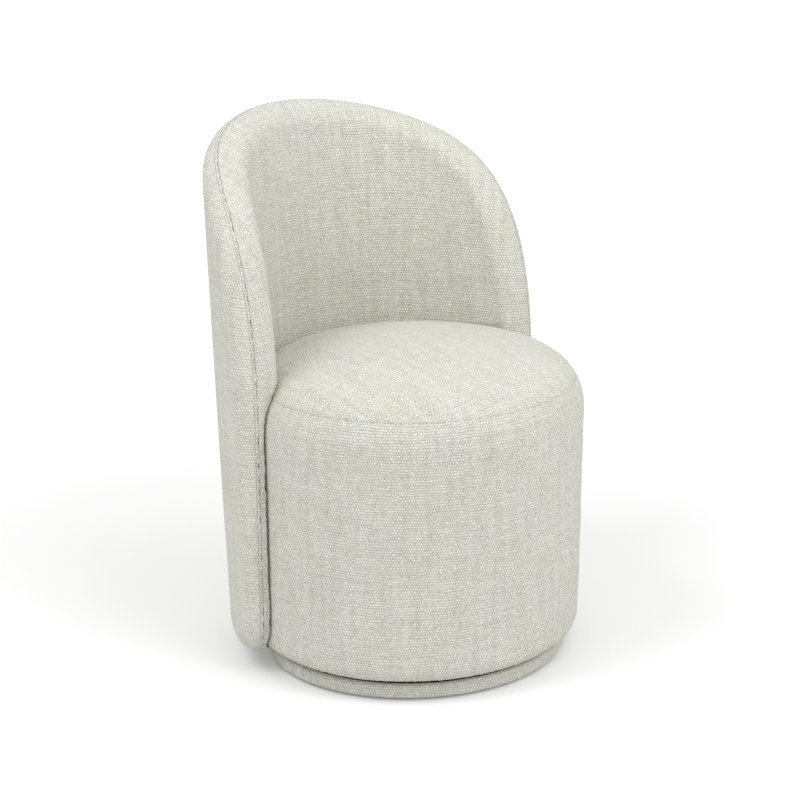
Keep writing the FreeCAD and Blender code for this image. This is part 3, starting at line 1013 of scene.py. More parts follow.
@dataclass
class SeatCushion:
    """Crowned seat pad under its top cover, sewn to the drum's side at a seam round the shoulder.

    Attributes:
        drum: The drum's form.
        base: Height of its underside.
        tuck: How far its edge is drawn in below the seam.
        dip: How far below the seam it is drawn in so.
        clearance: Gap between the drum's form and the pad at its underside.
        corner: Size of the cut corner of the underside.
        pressure: Pressure that fills it out.
        most_swell: The furthest that it may fill out.
        waves: Unevenness of its top.
        side: Quads along the middle square of its mesh.
        rings: Rings of quads round that.
        core: Radius of that square, as a share.
    """

    drum: DrumForm
    base: float = 401.6 * MM
    tuck: float = 4.0 * MM
    dip: float = 2.0 * MM
    clearance: float = 3.2 * MM
    corner: float = 3.0 * MM
    pressure: float = 4.0
    most_swell: float = 5.0 * MM
    waves: Waves = Waves(0.7 * MM, 0.11, 3)
    side: int = 56
    rings: int = 24
    core: float = 0.5

    def build(self) -> bpy.types.Object:
        """Build the closed pad.

        Returns:
            The piece.
        """
        disc = Disc(self.side, self.rings, self.core)
        plan = self.drum.plan
        section = self.drum.upper(self.drum.seam + self.drum.roll)
        run = lengths(section)
        reach = run[-1] * disc.radius
        across = np.interp(reach, run, section[:, 0])
        places = plan.place(across, disc.angle, np.interp(reach, run, section[:, 1]))
        places[:, 2] += self.waves.at(places) * (1.0 - smooth(0.8, 1.0, disc.radius))
        flat = plan.place(reach, disc.angle, 0.0)[:, :2]
        shell = Shell()
        ring = disc.lay(shell, places, flat)
        rows = self._underside(section[-1])
        for radius, level in rows:
            fresh = shell.add(plan.place(radius, disc.angles, level), flat[disc.rim])
            shell.bridge(ring, fresh, flip=True)
            ring = fresh
        radius, level = rows[-1]
        under = plan.place(disc.radius * radius, disc.angle, level)
        shell.bridge(ring, disc.lay(shell, under, flat, flip=True), flip=True)
        piece = shell.piece("seat_cushion", seam_turns=False)
        held = np.ones(shell.count)
        held[:len(disc.radius)] = smooth(0.86, 1.0, disc.radius)
        swell(piece, held, self.pressure, self.most_swell)
        return piece

    def _underside(self, edge: Array) -> list[tuple[float, float]]:
        """Section below the seam: the edge rolls in, runs down inside the side cover, then under.

        Args:
            edge: The section's point at the seam.

        Returns:
            Half width and height of each point, from the seam inwards.
        """
        drum = self.drum
        at_seam, at_base = (float(width) for width in drum.radius_at(np.array([drum.seam, self.base])))
        rolled = arc((edge[0] - drum.roll, edge[1]), drum.roll, 0.0, -90.0, 4)[1:]
        inner = at_base - self.clearance
        down = [(at_seam - self.tuck, drum.seam - self.dip), (inner, self.base + self.corner)]
        return [tuple(point) for point in rolled] + down + [(inner - self.corner, self.base)]


@dataclass
class DrumSide:
    """Fabric round the drum over its thin foam, turned in at the seam and under the foot.

    Attributes:
        drum: The drum's form.
        thickness: Thickness of the fabric.
        under: Half width of the opening that it leaves under the drum.
        waves: Unevenness of its surface.
        wave_start: Distance from the seam over which the waves grow.
        knots: Knots of the hem.
        knots_outwards: How much of a knot's height stands outwards as well as down.
        hem_height: Height above the underside at which the knots start.
        hem_full: Height above the underside at which they stand down by their full height.
        hem_margin: Strip beside the opening that has no knots.
        around: Steps round the drum.
        shoulder_points: Points of the section on the shoulder.
        side_points: Points on the side.
        heel_points: Points on the edge under the side.
        sole_points: Points on the underside.
        inner_points: Points on each stretch of the inside.
    """

    drum: DrumForm
    thickness: float = 2.0 * MM
    under: float = 206.0 * MM
    waves: Waves = Waves(0.45 * MM, 0.09, 5)
    wave_start: float = 40.0 * MM
    knots: YarnKnots = YarnKnots(2.4 * MM, 7)
    knots_outwards: float = 0.3
    hem_height: float = 14.0 * MM
    hem_full: float = 2.0 * MM
    hem_margin: float = 12.0 * MM
    around: int = 1120
    shoulder_points: int = 14
    side_points: int = 44
    heel_points: int = 12
    sole_points: int = 7
    inner_points: int = 5

    def section(self) -> Array:
        """Closed section of the cover.

        Returns:
            Its points, from the seam down the outside, under and back up inside.
        """
        drum = self.drum
        foot, shoulder, _, _ = drum.centres()
        last = math.degrees(math.asin((drum.seam - drum.roll - shoulder[1]) / drum.shoulder))
        bend = arc(shoulder, drum.shoulder, last, 0.0, self.shoulder_points)
        heel = arc(foot, drum.foot, 0.0, -90.0, self.heel_points)
        side = line(bend[-1], heel[0], self.side_points)
        sole = line(heel[-1], (self.under, drum.bottom), self.sole_points)
        turn = arc((bend[0][0] - drum.roll, bend[0][1]), drum.roll, 90.0, 0.0, 4)[:-1]
        edges = [(self.under, drum.bottom), (self.under, drum.bottom + self.thickness)]
        inner_heel = arc(foot, drum.foot - self.thickness, -90.0, 0.0, self.inner_points + 1)
        inner_bend = arc(shoulder, drum.shoulder - self.thickness, 0.0, last, self.inner_points)
        inner_side = line(inner_heel[-1], inner_bend[0], self.inner_points)
        return np.concatenate([turn, bend, side, heel, sole, edges, inner_heel, inner_side, inner_bend])

    def build(self) -> bpy.types.Object:
        """Build the cover as a closed band."""
        drum = self.drum
        return turned_cover(
            "drum_side_cover_fabric", drum.plan, drum.half_width, self.around, self.section(), self._relief)

    def _relief(self, row: Array, along: Array, point: Array, distance: float) -> Array:
        """Soft waves all over, and real knots of yarn round the hem.

        Args:
            row: Places of the row.
            along: Distance round the drum to each.
            point: The row's point of the section.
            distance: Distance along the section to it.

        Returns:
            The row's places on the uneven surface.
        """
        row = push_out(row, self.waves.at(row) * float(smooth(0.0, self.wave_start, np.array(distance))))
        radius, level = point
        if level < self.drum.bottom + self.hem_height and radius > self.under + self.hem_margin:
            knots = self.knots.at(along, distance)
            row = push_out(row, self.knots_outwards * knots)
            above = np.array(level - self.drum.bottom)
            row[:, 2] -= knots * float(smooth(self.hem_height, self.hem_full, above))
        return row


@dataclass
class BackForm:
    """Form of the back: a leaning oval barrel's wall inside an outline seen from the side.

    Attributes:
        half_thickness: Half the thickness of the back.
        rounding: Radius of its edges.
        half_width: Half width of the barrel at the datum, to the wall's middle surface.
        half_depth: Half depth of the barrel there.
        centre_y: Y of the barrel's middle there.
        lean: How far the barrel leans back for each step up.
        taper: How much its half width and half depth grow for each step up.
        datum: Height at which the barrel is measured.
        bottom: Height of the outline's sole.
        edge_y: Y of the front edge where the arch starts.
        edge_lean: How far the front edge leans back for each step up.
        arch_start: Height at which the front edge turns into the arch.
        arch_end: Y and height at which the arch runs into the top.
        arch_slope: Slope of the top, in radians.
        handles: Lengths of the arch's two handles.
        corner: Radius of the outline's lower front corner.
        middle: Height of the middle of the mesh.
        top_run: How far the top is drawn on behind the arch.
        sole_end: Y to which the sole is drawn.
    """

    half_thickness: float = 34.0 * MM
    rounding: float = 30.0 * MM
    half_width: float = 263.6 * MM
    half_depth: float = 297.3 * MM
    centre_y: float = -45.2 * MM
    lean: float = 0.091
    taper: float = -0.012
    datum: float = 40.0 * MM
    bottom: float = 26.3 * MM
    edge_y: float = 36.4 * MM
    edge_lean: float = 0.015
    arch_start: float = 379.4 * MM
    arch_end: tuple[float, float] = (295.9 * MM, 790.1 * MM)
    arch_slope: float = math.radians(22.0)
    handles: tuple[float, float] = (312.0 * MM, 161.0 * MM)
    corner: float = 60.0 * MM
    middle: float = 430.0 * MM
    top_run: float = 100.0 * MM
    sole_end: float = 450.0 * MM

    @property
    def level(self) -> float:
        """Distance from the wall's middle surface to the middle of each edge rounding."""
        return self.half_thickness - self.rounding

    def wall(self, turn: Array, height: Array, offset: float | Array) -> Array:
        """Places on the wall.

        Args:
            turn: Angle round the barrel from the rear, positive to +X.
            height: Height of each place.
            offset: Distance outwards from the wall's middle surface.

        Returns:
            The places, one row each.
        """
        rise = height - self.datum
        x = (self.half_width + self.taper * rise + offset) * np.sin(turn)
        depth = self.half_depth + self.taper * rise + offset
        y = self.centre_y + self.lean * rise + depth * np.cos(turn)
        return np.stack(np.broadcast_arrays(x, y, height), axis=1).astype(float)

    def side_outline(self) -> Array:
        """Draw the outline seen from the side.

        Returns:
            Its points, from behind the top down the front edge to behind the foot.
        """
        edge = np.array([self.edge_lean, 1.0]) / math.hypot(self.edge_lean, 1.0)
        inward = np.array([edge[1], -edge[0]])
        slope = np.array([math.cos(self.arch_slope), math.sin(self.arch_slope)])
        start = np.array([self.edge_y, self.arch_start])
        end = np.array(self.arch_end)
        share = np.linspace(0.0, 1.0, 300)[:, None]
        poles = (start, start + edge * self.handles[0], end - slope * self.handles[1], end)
        weights = ((1 - share) ** 3, 3 * share * (1 - share) ** 2, 3 * share ** 2 * (1 - share), share ** 3)
        arch = sum(weight * pole for weight, pole in zip(weights, poles))
        low = self.bottom + self.corner
        knee = (start[0] + (self.corner - inward[1] * (low - start[1])) / inward[0], low)
        last = 180.0 + math.degrees(math.atan2(edge[0], edge[1]))
        foot = arc(knee, self.corner, last, 270.0, 60)
        top = line(end + slope * self.top_run, end, 120)
        front = line(start, foot[0], 240)
        sole = line(foot[-1], (self.sole_end, self.bottom), 400)
        return np.concatenate([top, arch[::-1], front, foot, sole])

    def rim(self, count: int) -> tuple[Array, Array, Array, Array]:
        """Edge of the wall's middle surface, in even steps, anticlockwise seen from behind.

        Args:
            count: Number of steps.

        Returns:
            Angle round the barrel, height, the outline's outward normal seen from the side, and the
            distance along the edge.
        """
        outline = self.side_outline()
        rise = outline[:, 1] - self.datum
        cosine = (outline[:, 0] - self.centre_y - self.lean * rise) / (self.half_depth + self.taper * rise)
        keep = cosine <= 1.0
        outline, cosine = outline[keep], cosine[keep]
        tangent = np.gradient(outline, axis=0)
        tangent /= np.linalg.norm(tangent, axis=1, keepdims=True)
        normal = np.stack([tangent[:, 1], -tangent[:, 0]], axis=1)
        turn = np.arccos(cosine)
        turn[0] = turn[-1] = 0.0
        turns = np.concatenate([turn, -turn[-2:0:-1], turn[:1]])
        heights = np.concatenate([outline[:, 1], outline[-2:0:-1, 1], outline[:1, 1]])
        normals = np.concatenate([normal, normal[-2:0:-1], normal[:1]])
        run = lengths(self.wall(turns, heights, 0.0))
        steps = np.arange(count) * run[-1] / count
        even_normal = np.stack([np.interp(steps, run, part) for part in normals.T], axis=1)
        even_normal /= np.linalg.norm(even_normal, axis=1, keepdims=True)
        return np.interp(steps, run, turns), np.interp(steps, run, heights), even_normal, steps


class BackEdge:
    """Rows of the back's rounded edge, as insets along the wall and offsets across it.

    A row is three arrays with a value for each place round the edge: the inset, the offset, and the
    inset on the flat cloth.
    """

    def __init__(self, form: BackForm, count: int) -> None:
        """Work out the frame of the wall all along its edge.

        Args:
            form: The back's form.
            count: Number of places round the edge.
        """
        self.form = form
        self.turn, self.height, self.normal, self.run = form.rim(count)
        small = 1e-4
        here = form.wall(self.turn, self.height, 0.0)
        by_turn = (form.wall(self.turn + small, self.height, 0.0) - here) / small
        by_height = (form.wall(self.turn, self.height + small, 0.0) - here) / small
        out = np.cross(by_turn, by_height)
        out /= np.linalg.norm(out, axis=1, keepdims=True)
        beyond = form.wall(self.turn, self.height, small) - here
        out *= np.sign(np.sum(out * beyond, axis=1))[:, None]
        cut = np.stack([np.zeros(count), self.normal[:, 0], self.normal[:, 1]], axis=1)
        self.skew = np.sum(out * cut, axis=1)
        inward = -(cut - out * self.skew[:, None])
        inward /= np.linalg.norm(inward, axis=1, keepdims=True)
        pairs = ((by_turn, by_turn), (by_turn, by_height), (by_height, by_height))
        turn_length, both, height_length = (np.sum(one * other, axis=1) for one, other in pairs)
        first = np.sum(by_turn * inward, axis=1)
        second = np.sum(by_height * inward, axis=1)
        fall = turn_length * height_length - both ** 2
        self.turn_step = (height_length * first - both * second) / fall
        self.height_step = (turn_length * second - both * first) / fall

    def row(self, inset: Array) -> tuple[Array, Array]:
        """Angle round the barrel and height, at an inset along the wall for each place of the edge."""
        return self.turn + self.turn_step * inset, self.height + self.height_step * inset

    def rounding(self, side: float, share: float | Array) -> EdgeRow:
        """Inset and offset on the rounded edge.

        Args:
            side: 1 on the outer half, -1 on the inner half.
            share: 0 where the rounding leaves the wall, 1 at the crest.

        Returns:
            Inset, offset, and inset on the flat cloth, at each place round the edge.
        """
        radius = self.form.rounding
        lean = side * self.skew
        root = np.sqrt(1.0 - self.skew ** 2)
        level = self.form.level
        inset = (radius + level * lean) / root
        turn = share * np.arccos(lean)
        return inset - radius * np.sin(turn), side * (level + radius * np.cos(turn)), inset - radius * turn


@dataclass
class BackPads:
    """Inner and outer pads of the back, sewn together along the rounded edge.

    Attributes:
        form: The back's form.
        drum: The drum's form.
        seam_offset: Distance of the seam from the wall's middle surface, outwards.
        clearance: Gap between the inner pad and the drum.
        contact: How that gap changes from place to place, as a share.
        lap: Half width of the outer cover's lip along the seam.
        lap_foot: How deep the lip's foot goes into the edge.
        lap_sunk: How deep its two sides are sunk.
        stitch: Distance from knot to knot along the lip.
        stitch_drift: How the knots shift, in radians.
        lap_drift: How the lip's free side wanders.
        groove: Width of the groove between the lip and the inner cover.
        groove_change: How that width changes, as a share.
        inner_drop: How deep the inner cover is turned in at the seam.
        inner_tucks: Insets of the turned-in inner cover from the seam.
        inner_floor: Offset of the inner pad's hidden face.
        outer_drop: How far the turned-in outer cover lies off its last row.
        outer_tucks: Insets of the turned-in outer cover from the seam.
        outer_floor: Offset of the outer pad's hidden face.
        last_tuck: Inset at which both pads reach their hidden face.
        floor_step: How much further in that face itself starts.
        pressure: Pressure that fills the pads out.
        most_swell: The furthest that they may fill out.
        near_drum: Distances from the drum between which a wall comes free.
        above_seat: Height above the seat over which the inner wall comes free.
        side: Quads along the middle square of each wall's mesh.
        rings: Rings of quads round that.
        rows: Rows of the inner pad from the wall to the crest.
        core: Radius of the middle square, as a share.
        crest_share: The furthest round to the crest that the seam may lie, as a share.
    """

    form: BackForm
    drum: DrumForm
    seam_offset: float = 12.5 * MM
    clearance: float = 3.4 * MM
    contact: Waves = Waves(0.22, 0.009, 61)
    lap: float = 1.7 * MM
    lap_foot: float = 3.0 * MM
    lap_sunk: float = 0.3 * MM
    stitch: float = 4.4 * MM
    stitch_drift: Waves = Waves(1.5, 0.03, 21)
    lap_drift: Waves = Waves(0.45 * MM, 0.016, 22)
    groove: float = 0.12 * MM
    groove_change: Waves = Waves(0.6, 0.012, 31)
    inner_drop: float = 1.0 * MM
    inner_tucks: tuple[float, ...] = (0.8 * MM, 6.0 * MM, 18.0 * MM)
    inner_floor: float = 7.5 * MM
    outer_drop: float = 0.8 * MM
    outer_tucks: tuple[float, ...] = (0.8 * MM, 18.0 * MM)
    outer_floor: float = 18.5 * MM
    last_tuck: float = 20.0 * MM
    floor_step: float = 2.0 * MM
    pressure: float = 4.0
    most_swell: float = 2.0 * MM
    near_drum: tuple[float, float] = (8.0 * MM, 45.0 * MM)
    above_seat: float = 40.0 * MM
    side: int = 88
    rings: int = 12
    rows: int = 14
    core: float = 0.6
    crest_share: float = 0.97

    def __post_init__(self) -> None:
        """Lay out the field and the edge that both pads share."""
        self.disc = Disc(self.side, self.rings, self.core)
        self.edge = BackEdge(self.form, self.disc.around)

    def build_inner(self) -> bpy.types.Object:
        """Build the pad on the sitter's side, whose cover runs over the edge to the seam.

        Returns:
            The piece.
        """
        edge = self.edge
        rows = [edge.rounding(-1.0, k / self.rows) for k in range(1, self.rows + 1)]
        crest = rows[-1][2] - 2.0 * self.form.level
        far = edge.rounding(1.0, 1.0)[2]
        for share in (1.0, *self._inner_shares()):
            inset, offset, flat = edge.rounding(1.0, share)
            rows.append((inset, offset, crest - (flat - far)))
        rows += self._tucked(rows[-1], -self.inner_drop, self.inner_tucks, self.inner_floor)
        shell = self._pad(-1.0, rows, self.inner_floor)
        shell.places = [self._clear_drum(places) for places in shell.places]
        return self._fill_out(shell, "back_inner_pad", self.above_seat)

    def build_outer(self) -> bpy.types.Object:
        """Build the pad on the outside, from the seam round the rear.

        Returns:
            The piece.
        """
        rows = [self.edge.rounding(1.0, share) for share in self._outer_shares()]
        rows += self._tucked(rows[-1], self.outer_drop, self.outer_tucks, self.outer_floor)
        return self._fill_out(self._pad(1.0, rows, self.outer_floor), "back_outer_pad", None)

    def build_lap(self, count: int = 1840, profile: int = 9) -> bpy.types.Object:
        """Build the turned lip of the outer cover that stands up along the seam.

        Args:
            count: Steps round the edge.
            profile: Rows across the lip.

        Returns:
            The piece.
        """
        edge = BackEdge(self.form, count)
        radius = self.form.rounding
        seam_turn = self._seam_turn(edge)
        spine = self.form.wall(edge.turn, edge.height, 0.0)
        knot = 0.5 + 0.5 * np.sin(edge.run * 2.0 * math.pi / self.stitch + self.stitch_drift.at(spine))
        tall = (0.8 + 0.4 * knot) * MM
        drift = self.lap_drift.at(spine) + 0.35 * MM * knot
        shell = Shell()
        rings = []
        for share in np.linspace(-1.0, 1.0, profile):
            turn = seam_turn + (share * self.lap + drift * (share > 0.0)) / radius
            reach = radius + tall * math.sqrt(max(1.0 - share * share, 0.0)) - self.lap_sunk
            across = np.full(count, share * self.lap)
            rings.append(shell.add(self._lap_row(edge, turn, reach), np.stack([across, edge.run], axis=1)))
        for share in (0.7, -0.7):
            turn = seam_turn + share * self.lap / radius
            row = self._lap_row(edge, turn, radius - self.lap_foot)
            rings.append(shell.add(row, np.stack([np.full(count, 3.0 * self.lap), edge.run], axis=1)))
        shell.wrap(rings)
        return shell.piece("back_seam_lap", seam_turns=False)

    def _pad(self, side: float, rows: list[EdgeRow], floor: float) -> Shell:
        """Put a closed pad together from its wall, its edge and its hidden inner face.

        Args:
            side: 1 for the outer pad, -1 for the inner pad.
            rows: Rows of its edge, from the wall to the inner face.
            floor: Offset of the inner face.

        Returns:
            The shell, with the wall's vertices first.
        """
        shell = Shell()
        touch = self.edge.rounding(side, 0.0)[0]
        ring = self._lay_wall(shell, touch, side * self.form.half_thickness, side)
        for inset, offset, flat_inset in rows:
            flat = self._flat(*self.edge.row(flat_inset))
            fresh = shell.add(self.form.wall(*self.edge.row(inset), offset), flat)
            shell.bridge(ring, fresh, flip=side > 0)
            ring = fresh
        face = self._lay_wall(shell, rows[-1][0] + self.floor_step, floor, -side)
        shell.bridge(ring, face, flip=side > 0)
        return shell

    def _lay_wall(self, shell: Shell, inset: Array, offset: float, side: float) -> Array:
        """Fill the wall inside an inset from the edge, at an offset.

        Args:
            shell: The shell.
            inset: Inset at each place round the edge.
            offset: Offset of the wall.
            side: 1 for faces that look outwards, -1 for inwards.

        Returns:
            The numbers of the outermost vertices, in order.
        """
        turn, height = self.edge.row(inset)
        ring_angle = np.arange(self.disc.around + 1) * 2.0 * math.pi / self.disc.around
        field_angle = (self.disc.angle + math.pi / 4) % (2.0 * math.pi)
        rim_turn = np.interp(field_angle, ring_angle, np.append(turn, turn[0]))
        rim_height = np.interp(field_angle, ring_angle, np.append(height, height[0]))
        turns = self.disc.radius * rim_turn
        heights = self.form.middle + self.disc.radius * (rim_height - self.form.middle)
        places = self.form.wall(turns, heights, offset)
        return self.disc.lay(shell, places, self._flat(turns, heights), flip=side < 0)

    def _flat(self, turns: Array, heights: Array) -> Array:
        """Places on the flat cloth: round the wall, and up it."""
        mean = 0.5 * (self.form.half_width + self.form.half_depth)
        return np.stack([turns * mean, heights * math.hypot(1.0, self.form.lean)], axis=1)

    def _tucked(self, seam: EdgeRow, drop: float, depths: tuple[float, ...], floor: float) -> list[EdgeRow]:
        """Rows of the cover that is turned in beside the seam.

        Args:
            seam: The last row before the seam.
            drop: How far the turned-in cover lies off that row, across the wall.
            depths: How deep in from that row each of its rows lies.
            floor: Offset of the last row, at the pad's inner face.

        Returns:
            The rows.
        """
        inset, offset, flat = seam
        rows = [(inset + depth, offset + drop, flat) for depth in depths]
        return rows + [(inset + self.last_tuck, np.full(len(inset), floor), flat)]

    def _clear_drum(self, places: Array) -> Array:
        """Move places that lie in the drum out to its side.

        Args:
            places: The places, one row each.

        Returns:
            The places, none of them in the drum.
        """
        radius = self.drum.plan.radius_at(places)
        least = self.drum.radius_at(places[:, 2])
        gap = self.clearance * (1.0 + self.contact.at(places))
        least = np.where(least > 0.0, least + gap, 0.0)
        scale = np.where(radius < least, least / np.maximum(radius, 1e-6), 1.0)
        moved = places.copy()
        moved[:, :2] *= scale[:, None]
        return moved

    def _lap_row(self, edge: BackEdge, turn: Array, reach: float | Array) -> Array:
        """Places of a row of the lip, at an angle round the edge rounding and a reach from its middle."""
        inset = edge.rounding(1.0, 0.0)[0] - reach * np.sin(turn)
        return self.form.wall(*edge.row(inset), self.form.level + reach * np.cos(turn))

    def _seam_turn(self, edge: BackEdge) -> Array:
        """Angle round the outer edge rounding at which the seam lies, short of the crest."""
        level_turn = math.acos((self.seam_offset - self.form.level) / self.form.rounding)
        return np.minimum(level_turn, self.crest_share * np.arccos(edge.skew))

    def _seam_share(self, shift: float | Array) -> Array:
        """Share of the outer rounding at a distance from the seam, towards the crest where positive."""
        return (self._seam_turn(self.edge) + shift / self.form.rounding) / np.arccos(self.edge.skew)

    def _inner_shares(self) -> list[Array]:
        """Find how the inner cover goes on over the crest.

        Returns:
            Shares of the outer rounding, from its crest back to the groove beside the seam.
        """
        spine = self.form.wall(self.edge.turn, self.edge.height, 0.0)
        width = self.groove * (1.0 + self.groove_change.at(spine))
        last = np.minimum(self._seam_share(self.lap + width), 0.995)
        return [last + (1.0 - last) * share for share in np.linspace(0.8, 0.0, 5)]

    def _outer_shares(self) -> list[Array]:
        """Shares of the outer rounding from the wall to the seam."""
        last = self._seam_share(-0.5 * self.lap)
        return [last * share for share in np.linspace(0.1, 1.0, 12)]

    def _fill_out(self, shell: Shell, name: str, above_seat: float | None) -> bpy.types.Object:
        """Make the object, and let its wall fill out between its seam and the drum.

        Args:
            shell: The pad's shell, with the wall's vertices first.
            name: Name of the piece.
            above_seat: Height above the seat over which the wall comes free, or None where the seat
                doesn't hold it.

        Returns:
            The piece.
        """
        piece = shell.piece(name, seam_turns=False)
        places = np.concatenate(shell.places)[:len(self.disc.radius)]
        near = self.drum.plan.radius_at(places) - self.drum.radius_at(places[:, 2])
        free = (1.0 - smooth(0.9, 1.0, self.disc.radius)) * smooth(*self.near_drum, near)
        if above_seat is not None:
            free = free * smooth(self.drum.top, self.drum.top + above_seat, places[:, 2])
        held = np.ones(shell.count)
        held[:len(places)] = 1.0 - free
        swell(piece, held, self.pressure, self.most_swell)
        return piece


@dataclass
class PlinthCover:
    """Fabric band round the plinth, turned in on its top and under its foot.

    Attributes:
        half_width: Half width of the plinth.
        low: Height of its underside.
        high: Height of its top.
        edge: Radius of its edges.
        thickness: Thickness of the fabric.
        top_opening: Half width of the opening that it leaves on top, where the top board's painted shade
            shows.
        low_opening: Half width of the opening that it leaves underneath.
        knots: Knots of its outside.
        around: Steps round the plinth.
        corner_points: Points of the section on each edge.
        side_points: Points on the side.
        inner_points: Points on each edge inside.
        plan: Its oval.
    """

    half_width: float = 232.0 * MM
    low: float = 3.0 * MM
    high: float = 26.0 * MM
    edge: float = 6.0 * MM
    thickness: float = 2.0 * MM
    top_opening: float = 226.5 * MM
    low_opening: float = 192.0 * MM
    knots: YarnKnots = YarnKnots(0.5 * MM, 41)
    around: int = 960
    corner_points: int = 7
    side_points: int = 3
    inner_points: int = 4
    plan: Oval = Oval(238.5 / 257.0, 238.5 / 257.0)

    def section(self) -> Array:
        """Closed section of the band.

        Returns:
            Its points, from the top's opening down the outside, under and back up inside.
        """
        mid = self.half_width - self.edge
        top = (mid, self.high - self.edge)
        foot = (mid, self.low + self.edge)
        inner = self.edge - self.thickness
        parts = (
            [(self.top_opening, self.high)],
            arc(top, self.edge, 90.0, 0.0, self.corner_points),
            line((self.half_width, top[1]), (self.half_width, foot[1]), self.side_points),
            arc(foot, self.edge, 0.0, -90.0, self.corner_points),
            [(self.low_opening, self.low), (self.low_opening, self.low + self.thickness)],
            arc(foot, inner, -90.0, 0.0, self.inner_points),
            arc(top, inner, 0.0, 90.0, self.inner_points),
            [(self.top_opening, self.high - self.thickness)])
        return np.concatenate(parts)

    def build(self) -> bpy.types.Object:
        """Build the band as a closed section turned round the oval."""
        return turned_cover(
            "plinth_cover_fabric", self.plan, self.half_width, self.around, self.section(), self._relief)

    def _relief(self, row: Array, along: Array, point: Array, distance: float) -> Array:
        """Real knots of yarn on the outside.

        Args:
            row: Places of the row.
            along: Distance round the plinth to each.
            point: The row's point of the section.
            distance: Distance along the section to it.

        Returns:
            The row's places on the uneven surface.
        """
        if point[0] > self.half_width - self.edge:
            return push_out(row, self.knots.at(along, distance))
        return row


@dataclass
class DustCloth:
    """Thin black cloth tacked flat under a board.

    Attributes:
        name: Name of the piece.
        half_width: Half width that it is cut to.
        opening: Radius of the hole round the swivel.
        level: Height of its edges.
        sag: How far it sags between them.
        sag_change: How that changes from place to place, as a share.
        around: Steps round it.
        rows: Rows from its edge to the hole.
        plan: Its oval.
    """

    name: str
    half_width: float
    opening: float
    level: float
    sag: float = 0.25 * MM
    sag_change: Waves = Waves(0.4, 0.08, 51)
    around: int = 192
    rows: int = 24
    plan: Oval = Oval(238.5 / 257.0, 238.5 / 257.0)

    def build(self) -> bpy.types.Object:
        """Build the cloth, which sags a little between its edges.

        Returns:
            The piece.
        """
        angles = full_turn(self.around)
        outer = self.plan.place(self.half_width, angles, 0.0)
        inner = Oval(1.0, 1.0).place(self.opening, angles, 0.0)
        shell = Shell()
        rings = []
        for share in np.linspace(1.0, 0.0, self.rows):
            row = outer * share + inner * (1.0 - share)
            sag = self.sag * math.sin(math.pi * share) * (1.0 + self.sag_change.at(row))
            row[:, 2] = self.level - sag
            rings.append(shell.add(row, row[:, :2]))
        for ring, following in zip(rings, rings[1:]):
            shell.bridge(ring, following)
        piece = shell.piece(self.name, seam_turns=False)
        LOG.info("%s: cut to %.0f by %.0f mm", self.name, *(side / MM for side in self.flat()))
        return piece

    def flat(self) -> tuple[float, float]:
        """Width and length that the cloth is cut to."""
        return 2.0 * self.half_width, 2.0 * self.half_width * self.plan.front_ratio

    def area(self) -> float:
        """Flat area of the cut."""
        return math.pi * (self.half_width ** 2 * self.plan.front_ratio - self.opening ** 2)


@dataclass
class PhotoCamera:
    """Camera that looks at the chair from the front and the left, a little above.

    Attributes:
        azimuth: Direction that it stands in from -Y, in degrees, positive to +X.
        elevation: How far it looks down, in degrees.
        distance: Distance from the point that it looks at.
        across: How far that point lies to the right of the swivel's axis, as the camera sees it.
        height: Height of that point.
        lens: Focal length, in millimetres.
        sensor: Width of the sensor, in millimetres.
    """

    azimuth: float = -40.0
    elevation: float = 17.117
    distance: float = 3.5
    across: float = -25.44 * MM
    height: float = 388.2 * MM
    lens: float = 105.7
    sensor: float = 36.0

    def build(self) -> None:
        """Place the camera and make it the scene's own."""
        turn = math.radians(self.azimuth)
        rise = math.radians(self.elevation)
        back = Vector((math.sin(turn) * math.cos(rise), -math.cos(turn) * math.cos(rise), math.sin(rise)))
        right = Vector((math.cos(turn), math.sin(turn), 0.0))
        data = bpy.data.cameras.new("camera")
        data.lens = self.lens
        data.sensor_width = self.sensor
        data.dof.use_dof = False
        camera = bpy.data.objects.new("camera", data)
        place = right * self.across + Vector((0.0, 0.0, self.height)) + back * self.distance
        axes = Matrix((right, back.cross(right), back)).transposed()
        camera.matrix_world = Matrix.Translation(place) @ axes.to_4x4()
        bpy.context.scene.collection.objects.link(camera)
        bpy.context.scene.camera = camera


@dataclass(frozen=True)
class Lamp:
    """Round soft lamp.

    Attributes:
        name: Its name.
        power: Its power, in watts.
        size: Its width, in metres.
        place: Where it hangs.
    """

    name: str
    power: float
    size: float
    place: Triple

    def build(self, aim: Vector) -> None:
        """Make the lamp and turn it to a point.

        Args:
            aim: The point.
        """
        lamp = bpy.data.lights.new(self.name, "AREA")
        lamp.shape = "DISK"
        lamp.size = self.size
        lamp.energy = self.power
        holder = bpy.data.objects.new(self.name, lamp)
        holder.location = Vector(self.place)
        holder.rotation_euler = (aim - Vector(self.place)).to_track_quat("-Z", "Y").to_euler()
        bpy.context.scene.collection.objects.link(holder)


